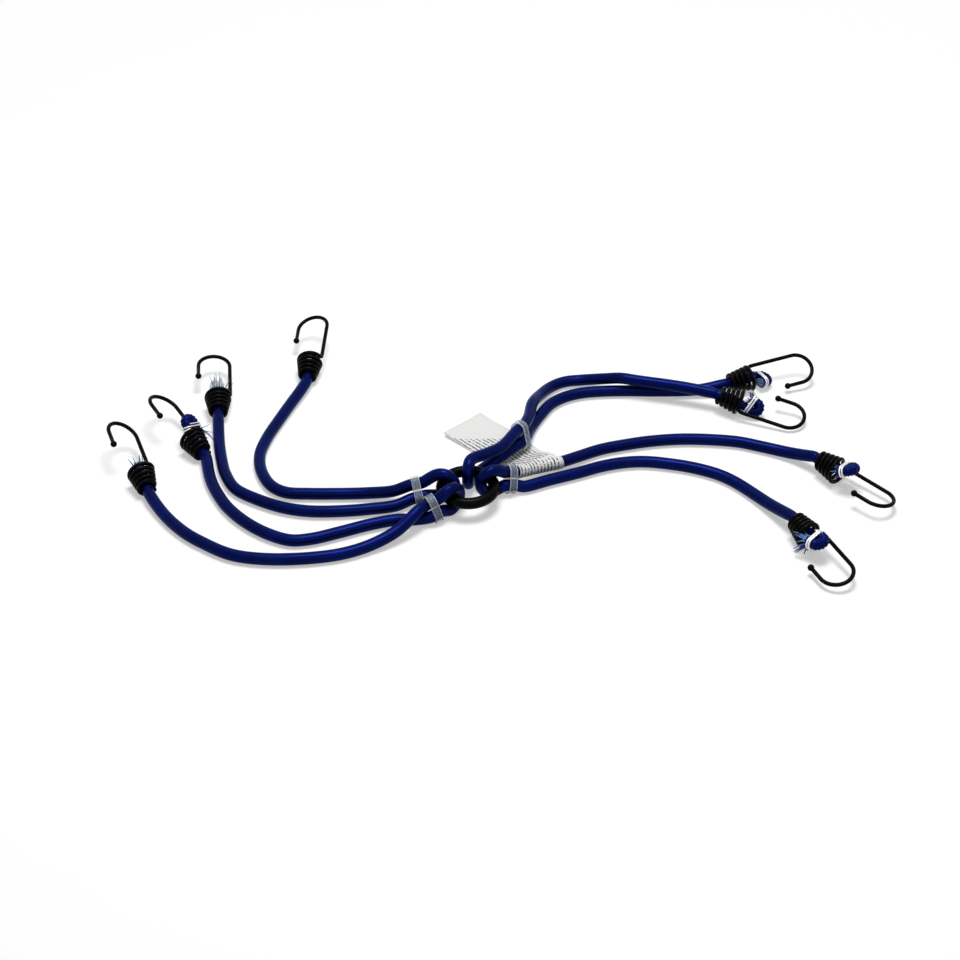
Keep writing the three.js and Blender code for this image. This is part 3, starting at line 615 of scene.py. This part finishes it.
def cord_plan(cord):
    """Where a cord crosses the ring's bar, and its two legs in the band."""
    angle, dip = math.radians(cord.ring_angle), math.radians(cord.dip)
    heading, lean = math.radians(cord.heading), math.radians(cord.lean)
    outward = np.array((math.cos(angle), math.sin(angle), 0.0))
    bar = RING_AT + outward * RING_R + UP * RING_Z
    along = np.array((math.cos(heading) * math.cos(dip), math.sin(heading) * math.cos(dip), -math.sin(dip)))
    left = unit(np.cross(UP, along))
    pair = left * math.cos(lean) + np.cross(along, left) * math.sin(lean)
    lower = np.array((bar[0] + cord.band_from_bar[0], bar[1] + cord.band_from_bar[1], cord.lower_leg_z))
    upper = lower + pair * LEG_PITCH
    return Plan(outward, bar, along, pair, upper, lower, (lower + upper) / 2)


def on_floor(line):
    line[:, 2] = np.maximum(line[:, 2], CORD_R)
    return line


def bight_line(cord, plan):
    """Centre of the cord over the ring, with its sideways kinks smoothed away."""
    points = [plan.upper, plan.upper - plan.along * LEAD]
    points += [RING_AT + np.array(point) for point in cord.upper_leg_via]
    for degrees in range(cord.over_bar_from, OVER_BAR_TO + 1, OVER_BAR_STEP):
        turn = math.radians(degrees)
        points.append(plan.bar + BIGHT_R * (plan.outward * math.cos(turn) + UP * math.sin(turn)))
    points += [plan.lower - plan.along * LEAD, plan.lower]
    line = smooth_line(points, CORD_STEP)
    along_bar = np.cross(UP, plan.outward)
    line += np.outer((softened(line, BIGHT_PASSES) - line) @ along_bar, along_bar)
    return on_floor(line)


def bight_piece(name, cord, plan):
    surface = Surface()
    surface.tube(bight_line(cord, plan), CORD_R, CORD_SIDES, first=plan.pair)
    return surface.piece(name, CORD_BLUE)


def eased_in(line):
    """The line with the kinks near its far end smoothed away."""
    left = (len(line) - 1 - np.arange(len(line))) * CORD_STEP
    share = eased((EASED_LENGTH - left) / EASED_FADE)
    return line + (softened(line, ARM_PASSES) - line) * share[:, None]


def arm_line(arm, plan, matrix):
    """Centre of an arm from its band to the small end of its hook's cone."""
    start = plan.upper if arm.leg == "upper" else plan.lower
    points = [start, start + plan.along * LEAD]
    points += [RING_AT + point for point in np.array(arm.route)]
    points += list(placed([(CORD_END_X - END_LEAD, 0, 0), (CORD_END_X, 0, 0)], matrix))
    return on_floor(eased_in(smooth_line(points, CORD_STEP)))


def arm_piece(name, line, along, plan):
    radii = CORD_R - ARM_SQUEEZE * eased((along - along[-1] + ARM_SQUEEZE_RUN) / ARM_SQUEEZE_RUN)
    surface = Surface()
    surface.tube(line, radii, CORD_SIDES, first=plan.pair)
    return surface.piece(name, CORD_BLUE)


def band_section():
    """The strip's section, out of its oval and along the cord, with rounded corners."""
    section = []
    for k in range(BAND_SECTION_STEPS):
        turn = k / BAND_SECTION_STEPS * 2 * math.pi
        out, along = (math.copysign(abs(f(turn)) ** BAND_SQUARENESS, f(turn)) for f in (math.cos, math.sin))
        section.append((out * BAND_WALL / 2, along * BAND_WIDTH / 2))
    return section


def band_piece(name, plan):
    """Clear strip round two legs: a rounded flat section swept round an oval, with its edges painted pale as
    a highlight.
    """
    across = np.cross(plan.along, plan.pair)
    half, radius = LEG_PITCH / 2, CORD_R * CORNER + FIT_GAP + BAND_WALL / 2
    points = []
    for side, centre in enumerate((half, -half)):
        for step in range(BAND_ARC_STEPS + 1):
            turn = (side - 0.5 + step / BAND_ARC_STEPS) * math.pi
            for out, along in band_section():
                reach = radius + out
                points.append(plan.middle + plan.pair * (centre + reach * math.cos(turn))
                              + across * reach * math.sin(turn) + plan.along * along)
    count = len(points) // BAND_SECTION_STEPS
    faces, uvs = closed_grid(count, BAND_SECTION_STEPS)
    # Painted highlight: the faces towards the strip's edges take the pale rim finish.
    towards_edge = np.abs(np.sin((np.arange(BAND_SECTION_STEPS) + 0.5) / BAND_SECTION_STEPS * 2 * math.pi))
    kinds = np.tile((towards_edge > RIM_HIGHLIGHT_FROM).astype(int), count).tolist()
    return mesh_object(name, points, faces, uvs, [CLEAR, CLEAR_RIM_HIGHLIGHT], material_of=kinds)


# Hooks, clips and cord ends, in each hook's own frame.
BALL_END = math.pi * 0.985
WIRE_END_ROUNDING = (0.55, 0.9)
CLIP_SECTION = (1.2, 0.75)
# The cord in the cone: its radius, how it is squeezed, how its cut opens or closes, and the ribs of its fold.
END_R, END_SQUEEZE, SQUEEZE_FROM, SQUEEZE_RUN = 0.0037, 0.0005, 0.012, 0.008
CLOSED_CUTS = (5, 6)
CUT_OPENS, CUT_CLOSES, CUT_RUN = 0.0006, -0.0017, 0.0025
RIB_BASE, RIB_HEIGHT, RIB_PITCH, RIBS_BEFORE_FOLD, RIBS_RUN = 0.0004, 0.0003, 0.0016, 0.002, 0.003
# The rubber core: the bundle, its strands, and how far each strand starts inside the cut.
BUNDLE_R, STRAND_PITCH, STRAND_R = 0.0017, 0.00085, 0.00043
STRAND_TIP, STRAND_IN, STRAND_STEPS = 0.6, 0.0012, 10
# How far the strands stand out of each cut and bend over, in metres and degrees, and how they spread.
CORE_OUT = {1: (0.0008, 0), 2: (0.0105, 50), 3: (0.0042, 50), 4: (0.001, 0),
            5: (0.0003, 0), 6: (0.0001, 0), 7: (0.001, 0), 8: (0.0012, 0)}
CORE_SPREAD = {2: 0.3, 3: 0.2}
# Frayed yarns: where they start, how thin their tips are, the share of pale ones, and their least height.
YARN_IN, YARN_FROM_AXIS, YARN_TIP, PALE_SHARE, YARN_LIFT = 0.0008, 0.0029, 0.35, 0.35, 0.0002
# Frayed yarns of each cut: their number, least and greatest length, spread in degrees, droop and radius.
Fray = namedtuple("Fray", "count least most spread droop radius")
FRAYS = {
    1: Fray(5, 0.002, 0.004, 35, 0.0, 0.0003),
    2: Fray(14, 0.008, 0.015, 30, -0.9, 0.0004),
    3: Fray(12, 0.005, 0.009, 25, -0.8, 0.0004),
    4: Fray(20, 0.005, 0.014, 70, 0.0, 0.0004),
    5: Fray(18, 0.003, 0.006, 40, 0.0, 0.0004),
    6: Fray(18, 0.002, 0.004, -20, 0.0, 0.00045),
    7: Fray(14, 0.002, 0.006, 40, 0.6, 0.0005),
    8: Fray(18, 0.005, 0.011, 45, 0.7, 0.0007),
}


def hook_frame(arm):
    """The hook's own frame: X along the cord from the small end of the cone, shank on the +Y side."""
    tilt = math.radians(arm.tilt)
    big = (COIL_BIG_R + WIRE_R) * math.cos(tilt) - COIL_LENGTH * math.sin(tilt)
    small = (COIL_SMALL_R + WIRE_R) * math.cos(tilt)
    matrix = np.eye(4)
    matrix[:3, :3] = turned(arm.yaw, arm.tilt, arm.roll)
    matrix[:3, 3] = RING_AT + (*arm.hook_at, max(big, small) + FLOOR_GAP)
    return matrix


def hook_line():
    """Centre of the hook's wire and its radius, from the cone's small end to the ball tip."""
    points, radii = [], []

    def wound(x, radius, angle):
        points.append((x, radius * math.cos(angle), radius * math.sin(angle)))
        radii.append(COATED_WIRE_R)

    def flat(x, y, radius):
        points.append((x, y, 0))
        radii.append(radius)

    steps = COIL_TURNS * COIL_STEPS
    leaves = -COIL_EXIT_R / COIL_BIG_R
    for i in range(steps + 1):
        share = i / steps
        angle = leaves - (1 - share) * COIL_TURNS * 2 * math.pi
        radius = COIL_SMALL_R + share * (COIL_BIG_R - COIL_SMALL_R)
        wound(WIRE_R + share * COIL_TURNS * COIL_PITCH, radius, angle)
    for i in range(1, EXIT_STEPS + 1):
        turn = i / EXIT_STEPS * math.pi / 2
        x = COIL_LENGTH - WIRE_R + COIL_EXIT_R * (1 - math.cos(turn))
        wound(x, COIL_BIG_R, leaves * (1 - math.sin(turn)))
    bend_y = COIL_BIG_R - BEND_R
    for i in range(BEND_STEPS + 1):
        turn = i / BEND_STEPS * math.pi
        flat(BEND_X + BEND_R * math.sin(turn), bend_y + BEND_R * math.cos(turn), COATED_WIRE_R)
    ball_x, neck = BEND_X - RETURN_LENGTH, math.asin(COATED_WIRE_R / BALL_R)
    for i in range(BALL_STEPS + 1):
        turn = neck + (BALL_END - neck) * i / BALL_STEPS
        flat(ball_x + BALL_R * math.cos(turn), bend_y - BEND_R, BALL_R * math.sin(turn))
    for i, share in enumerate(WIRE_END_ROUNDING):
        radii[i] *= share
    return np.array(points), np.array(radii)


def hook_piece(name, matrix):
    line, radii = hook_line()
    surface = Surface()
    surface.tube(line, radii, WIRE_SIDES, first=UP)
    return surface.moved(matrix).piece(name, HOOK_BLACK)


def fold_frame(fold):
    """A folded end's own frame: it leans out of the cone's axis about a point inside the cone."""
    matrix = np.eye(4)
    if fold:
        lean, towards = math.radians(fold[0]), math.radians(fold[1])
        x, y, z = 0.0, -math.sin(towards), math.cos(towards)
        skew = np.array([[0, -z, y], [z, 0, -x], [-y, x, 0]])
        leaned = np.eye(3) + math.sin(lean) * skew + (1 - math.cos(lean)) * skew @ skew
        matrix[:3, :3] = leaned @ turned(0, 0, fold[2])
        pivot = np.array((LEAN_X, 0, 0))
        matrix[:3, 3] = pivot - matrix[:3, :3] @ pivot
    return matrix


def clip_line(fold):
    """Two turns of wire, oval round a folded cord end or round on a cut one."""
    start, far = (CLIP_X, -2 * FOLD_R) if fold else (CUT_CLIP_X, 0.0)
    oval = []
    for side, centre in enumerate((0.0, far)):
        for i in range(1, CLIP_ARC_STEPS + 1):
            turn = (side + i / CLIP_ARC_STEPS) * math.pi
            oval.append((centre + DRAWN_CLIP_R * math.sin(turn), DRAWN_CLIP_R * math.cos(turn)))
    points = []
    for i in range(CLIP_TURNS * len(oval) + 1):
        y, z = oval[i % len(oval)]
        points.append((start + CLIP_WIRE_R + i / len(oval) * CLIP_PITCH, y, z))
    return placed(stepped(np.array(points), FINE_STEP), fold_frame(fold))


def clip_piece(name, arm, matrix):
    surface = Surface()
    along = np.array((1.0, 0, 0))
    surface.tube(clip_line(arm.fold), CLIP_WIRE_R, CLIP_SIDES, first=along, section=CLIP_SECTION)
    return surface.moved(matrix).piece(name, CLIP_METAL)


def end_line(fold):
    """Centre of the cord inside its hook, straight or folded back beside itself."""
    if not fold:
        return stepped(np.array([(CORD_END_X, 0, 0), (CUT_X, 0, 0)]), FINE_STEP)
    inside = [(x, 0, 0) for x in np.linspace(CORD_END_X, LEAN_X - 2 * LEAN_RUN, 4)]
    folded = [(LEAN_X + 2 * LEAN_RUN, 0, 0), (FOLD_X, 0, 0)]
    for i in range(1, FOLD_STEPS + 1):
        turn = i / FOLD_STEPS * math.pi
        folded.append((FOLD_X + FOLD_R * math.sin(turn), -FOLD_R * (1 - math.cos(turn)), 0))
    folded.append((STUB_X, -2 * FOLD_R, 0))
    return smooth_line(np.vstack([inside, placed(folded, fold_frame(fold))]), FINE_STEP)


def end_piece(name, number, arm, matrix):
    """The cord through the cone. Its braid bunches into ribs round a fold, and opens or closes at the cut."""
    line = end_line(arm.fold)
    along = even_reach(line)
    radii = END_R - END_SQUEEZE * eased((along - SQUEEZE_FROM) / SQUEEZE_RUN)
    at_cut = CUT_CLOSES if number in CLOSED_CUTS else CUT_OPENS
    radii += at_cut * eased((along - along[-1] + CUT_RUN) / CUT_RUN)
    if arm.fold:
        straight = placed(line, np.linalg.inv(fold_frame(arm.fold)))
        folded = eased((straight[:, 0] - FOLD_X + RIBS_BEFORE_FOLD) / RIBS_RUN)
        radii += folded * (RIB_BASE + RIB_HEIGHT * np.cos(along / RIB_PITCH * 2 * math.pi))
    surface = Surface()
    surface.tube(line, radii, CORD_SIDES, first=fold_frame(arm.fold)[:3, 2])
    return surface.moved(matrix).piece(name, CORD_BLUE)


def cut_of(fold):
    """Where a cord is cut, and the way the cut faces, in the folded end's own frame."""
    if fold:
        return np.array((STUB_X, -2 * FOLD_R, 0.0)), np.array((-1.0, 0.0, 0.0))
    return np.array((CUT_X, 0.0, 0.0)), np.array((1.0, 0.0, 0.0))


def packed(radius, spacing):
    """Places in rows side by side that fill a round section."""
    most = math.ceil(radius / spacing) + 1
    places = []
    for row in range(-most, most + 1):
        for column in range(-most, most + 1):
            y, z = (column + 0.5 * (row % 2)) * spacing, row * spacing * math.sqrt(0.75)
            if math.hypot(y, z) <= radius:
                places.append((y, z))
    return places


def core_piece(number, arm, matrix, draw):
    """The rubber core at the cut: a bundle of strands, each of its own length."""
    at, facing = cut_of(arm.fold)
    matrix = matrix @ fold_frame(arm.fold)
    out, degrees = CORE_OUT[number]
    spread = CORE_SPREAD.get(number, 0.0)
    upward = matrix[:3, :3].T @ UP
    towards = unit(upward - facing * np.dot(upward, facing))
    surface = Surface()
    for y, z in packed(BUNDLE_R, STRAND_PITCH):
        from_axis = np.array((0, y, z))
        length = STRAND_IN + out * draw.uniform(0.7, 1.0)
        lean = degrees * draw.uniform(0.75, 1.15)
        fanned = unit(facing + from_axis / BUNDLE_R * spread)
        line = bent(at - facing * STRAND_IN + from_axis, fanned, towards, length, lean, STRAND_STEPS)
        radii = STRAND_R * (1 + spread * np.linspace(0, 2, len(line)))
        radii[-1] *= STRAND_TIP
        surface.tube(line, radii, STRAND_SIDES, first=np.array((0, 1, 0.3)))
    return surface.moved(matrix).piece(f"core_strands_{number}", RUBBER)


def fray_piece(number, arm, matrix, draw):
    """Loose yarns round the cut, each bent its own way and none below the floor."""
    fray = FRAYS[number]
    at, facing = cut_of(arm.fold)
    matrix = matrix @ fold_frame(arm.fold)
    upward = matrix[:3, :3].T @ UP
    surface = Surface()
    for i in range(fray.count):
        turn = (i + draw.uniform(-0.3, 0.3)) / fray.count * 2 * math.pi
        outward = np.array((0, math.cos(turn), math.sin(turn)))
        start = at - facing * YARN_IN + outward * YARN_FROM_AXIS
        length = draw.uniform(fray.least, fray.most)
        lean = math.radians(fray.spread) * draw.uniform(0.3, 1.0)
        heading = facing * math.cos(lean) + outward * math.sin(lean)
        towards = unit(outward * draw.uniform(-0.6, 1.0) - upward * fray.droop + np.array(
            [draw.uniform(-0.4, 0.4) for _ in range(3)]))
        towards = unit(towards - heading * np.dot(towards, heading))
        line = bent(start, heading, towards, length, draw.uniform(10, 70))
        radii = fray.radius * np.linspace(1.0, YARN_TIP, len(line))
        pale = int(draw.random() < PALE_SHARE)
        surface.tube(line, radii, YARN_SIDES, first=np.array((0.2, 0.3, 1)), kind=pale)
    lifted = np.array(surface.moved(matrix).points)
    lifted[:, 2] = np.maximum(lifted[:, 2], YARN_LIFT)
    surface.points = list(lifted)
    return surface.piece(f"frayed_threads_{number}", THREAD_BLUE, THREAD_PALE)


# Paper label.
WRAP_FROM, WRAP_DEGREES, WRAP_R, WRAP_LAP = -30, 395, 0.0042, 0.0003
TURN_RUN = 0.75
CURL_HEIGHT, CURL_FROM, CURL_RUN, CURL_MEAN, CURL_SLOPE = 0.0024, 0.72, 0.28, 0.55, 0.45
RIPPLE_HEIGHT, RIPPLE_ALONG, RIPPLE_ACROSS, RIPPLE_FROM, RIPPLE_RUN = 0.0004, 9, 120, 0.3, 0.3


def sleeve_piece(line, back):
    """Paper wrapped once round the arm, with its outer edge lapped over the inner one."""
    centre = points_at(line, np.linspace(PAPER_FROM_BAND, PAPER_FROM_BAND + LABEL_WIDTH, SLEEVE_ROWS))
    inner, outer = [], []
    for middle, tangent in zip(centre, directions(centre)):
        side = unit(back - tangent * np.dot(back, tangent))
        upward = np.cross(tangent, side)
        inner.append([])
        outer.append([])
        for k in range(SLEEVE_COLUMNS):
            share = k / (SLEEVE_COLUMNS - 1)
            turn = math.radians(WRAP_FROM + share * WRAP_DEGREES)
            radius = WRAP_R + WRAP_LAP * share
            way = side * math.cos(turn) + upward * math.sin(turn)
            inner[-1].append(middle + way * radius)
            outer[-1].append(middle + way * (radius + PAPER_THICK))
    surface = Surface()
    surface.sheet(np.array(inner), np.array(outer))
    return surface.piece("paper_sleeve", SLEEVE_PAPER), centre


def flag_piece(centre, back):
    """The paper's loose end: it leaves the sleeve, drops to the floor and lies there, a little curled."""
    run = unit((centre[-1] - centre[0]) * (1, 1, 0))
    middle = centre[len(centre) // 2]
    root = middle[2] - FLAG_BELOW_AXIS
    step = FLAG_LENGTH / (FLAG_ROWS - 1)
    spine = middle * (1, 1, 0) + back * (CORD_R + FIT_GAP + LABEL_PAPER + SEAM_GAP)
    top, bottom = [], []
    for i in range(FLAG_ROWS):
        reach = i * step
        far = reach / FLAG_LENGTH
        turn = FLAG_TURN * eased(far / TURN_RUN)
        ahead = back * math.cos(turn) - run * math.sin(turn)
        across = run * math.cos(turn) + back * math.sin(turn)
        spine = spine + ahead * (step if i else 0.0)
        height = FLAG_LIFT + (root - FLAG_LIFT) * (1 - eased(reach / FLAG_DROP_RUN))
        top.append([])
        bottom.append([])
        for k in range(FLAG_COLUMNS):
            side = (k / (FLAG_COLUMNS - 1) - 0.5) * LABEL_WIDTH
            corner = CURL_MEAN - CURL_SLOPE * side / (LABEL_WIDTH / 2)
            curl = CURL_HEIGHT * eased((far - CURL_FROM) / CURL_RUN) * corner
            ripple = RIPPLE_HEIGHT * math.sin(far * RIPPLE_ALONG + side * RIPPLE_ACROSS) ** 2
            curl += ripple * eased((far - RIPPLE_FROM) / RIPPLE_RUN)
            point = spine + across * side + UP * (height + curl)
            bottom[-1].append(point)
            top[-1].append(point + UP * PAPER_THICK)
    surface = Surface()
    surface.sheet(np.array(top), np.array(bottom))
    return surface.piece("paper_flag", FLAG_PAPER)


# The pieces.
ride(ring_piece(), "center", "center_ring")
plans = [cord_plan(cord) for cord in CORDS]
for number, (cord, plan) in enumerate(zip(CORDS, plans), 1):
    cord_body = f"cord_{number}"
    ride(bight_piece(f"bight_{number}", cord, plan), cord_body, f"cord_bight_{number}")
    ride(band_piece(f"clear_band_{number}", plan), cord_body, f"cord_band_{number}")

for number, arm in enumerate(ARMS, 1):
    draw = random.Random(number)
    matrix = hook_frame(arm)
    plan = plans[arm.cord]
    end_body, hook_body, cord_body = f"end_{number}", f"hook_{number}", f"cord_{arm.cord + 1}"
    end_name = f"folded_end_{number}" if arm.fold else f"cut_end_{number}"

    hook = ride(hook_piece(f"hook_{number}", matrix), hook_body, f"wire_hook_{number}")
    end = ride(end_piece(end_name, number, arm, matrix), end_body, f"cord_end_{number}")
    ride(core_piece(number, arm, matrix, draw), end_body, f"rubber_core_{number}")
    ride(fray_piece(number, arm, matrix, draw), end_body)
    clip = ride(clip_piece(f"wire_clip_{number}", arm, matrix), end_body, f"end_clip_{number}")

    line = arm_line(arm, plan, matrix)
    along = even_reach(line)
    cord = arm_piece(f"cord_arm_cover_{number}", line, along, plan)
    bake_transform(cord)
    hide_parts(f"cord_arm_{number}")
    if number - 1 == LABELLED_ARM:
        ends = np.interp([PAPER_FROM_BAND, PAPER_FROM_BAND + LABEL_WIDTH], along, np.arange(len(line)))
        run = unit((line[int(ends[1])] - line[int(ends[0])]) * (1, 1, 0))
        back = np.cross(UP, run)
        sleeve, centre = sleeve_piece(line, back)
        ride(sleeve, cord_body, "label_sleeve")
        flag = flag_piece(centre, back)
        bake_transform(flag)
        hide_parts("label_flag")


# Floor, light and camera.
FLOOR_REACH = 6.0
FLOOR_SEEN, FLOOR_UNSEEN, FLOOR_GLOW = 0.7, 0.25, 0.42
FLOOR_FADE = (0.4, 1.0)
WORLD_UNSEEN, WORLD_SEEN = 0.12, 1.0
WHITE = (1, 1, 1, 1)
# Each lamp's place, size in metres and watts. All aim at the middle of the part.
LAMPS = {
    "key": ((0.05, 0.2, 1.6), (0.6, 0.6), 18),
    "overhead": ((0.1, 0.3, 1.6), (1.6, 1.6), 5),
    "fill": ((0.3, -1.2, 1.1), (0.9, 0.6), 1.5),
}
# The photo's camera: its picture and focal length in pixels, its sensor in millimetres, and its place.
PHOTO_PIXELS, FOCAL_PIXELS, SENSOR_WIDTH = 960, 1950, 36
LOOK_FROM_RING, CAMERA_DISTANCE, CAMERA_RISE = (0.0078, 0.0234, 0), 1.3, math.radians(38)


def seen_share(tree):
    """One for rays that show the background itself, also in metal and through clear plastic."""
    path = tree.nodes.new("ShaderNodeLightPath")
    share = path.outputs["Is Camera Ray"]
    for other in ("Is Glossy Ray", "Is Transmission Ray"):
        either = tree.nodes.new("ShaderNodeMath")
        either.operation = "MAXIMUM"
        tree.links.new(share, either.inputs[0])
        tree.links.new(path.outputs[other], either.inputs[1])
        share = either.outputs[0]
    return share


def floor_material():
    """White floor that keeps the shadows near the part and is plain white further out.

    It sends less light back up to the part than a white floor would.
    """
    shader = Shader("floor", Roughness=0.9, Specular_IOR_Level=0.1)
    seen = seen_share(shader.tree)
    reach = shader.node("ShaderNodeVectorMath", operation="LENGTH")
    shader.put(reach.inputs[0], shader.node("ShaderNodeTexCoord").outputs["Object"])
    far = shader.node("ShaderNodeMapRange")
    shader.put(far.inputs["Value"], reach.outputs["Value"])
    far.inputs["From Min"].default_value, far.inputs["From Max"].default_value = FLOOR_FADE
    shader.colour(shader.mix(seen, FLOOR_UNSEEN, shader.mix(far.outputs[0], FLOOR_SEEN, 0.0)))
    light = shader.node("ShaderNodeEmission")
    light.inputs["Color"].default_value = WHITE
    glow = shader.mix(far.outputs[0], FLOOR_GLOW, 1.0)
    shader.put(light.inputs["Strength"], shader.math("MULTIPLY", seen, glow))
    both = shader.node("ShaderNodeAddShader")
    shader.put(both.inputs[0], shader.surface.outputs[0])
    shader.put(both.inputs[1], light.outputs[0])
    shader.put(shader.tree.nodes["Material Output"].inputs["Surface"], both.outputs[0])
    return shader.material


def floor_piece():
    mesh = bpy.data.meshes.new("floor")
    corners = [(-FLOOR_REACH, -FLOOR_REACH, 0), (FLOOR_REACH, -FLOOR_REACH, 0),
               (FLOOR_REACH, FLOOR_REACH, 0), (-FLOOR_REACH, FLOOR_REACH, 0)]
    mesh.from_pydata(corners, [], [(0, 1, 2, 3)])
    mesh.materials.append(floor_material())
    floor = bpy.data.objects.new("floor", mesh)
    bpy.context.scene.collection.objects.link(floor)


def aim(made, target):
    made.rotation_euler = (Vector(target) - made.location).to_track_quat("-Z", "Y").to_euler()


def area_light(name, place, size, watts):
    lamp = bpy.data.lights.new(name, "AREA")
    lamp.shape = "RECTANGLE"
    lamp.size, lamp.size_y = size
    lamp.energy = watts
    made = bpy.data.objects.new(name, lamp)
    bpy.context.scene.collection.objects.link(made)
    made.location = place
    aim(made, (0, 0, 0))


def white_world():
    world = bpy.data.worlds.new("studio")
    bpy.context.scene.world = world
    world.use_nodes = True
    tree = world.node_tree
    background = tree.nodes["Background"]
    background.inputs["Color"].default_value = WHITE
    strength = tree.nodes.new("ShaderNodeMapRange")
    tree.links.new(seen_share(tree), strength.inputs["Value"])
    strength.inputs["To Min"].default_value = WORLD_UNSEEN
    strength.inputs["To Max"].default_value = WORLD_SEEN
    tree.links.new(strength.outputs[0], background.inputs["Strength"])


def photo_camera():
    camera = bpy.data.cameras.new("camera")
    camera.sensor_width = SENSOR_WIDTH
    camera.lens = SENSOR_WIDTH * FOCAL_PIXELS / PHOTO_PIXELS
    eye = bpy.data.objects.new("camera", camera)
    bpy.context.scene.collection.objects.link(eye)
    look_at = RING_AT + LOOK_FROM_RING
    eye.location = look_at + CAMERA_DISTANCE * np.array((0, -math.cos(CAMERA_RISE), math.sin(CAMERA_RISE)))
    aim(eye, look_at)
    bpy.context.scene.camera = eye


floor_piece()
white_world()
for name, lamp in LAMPS.items():
    area_light(name, *lamp)
photo_camera()
bpy.context.scene.view_settings.view_transform = "Standard"
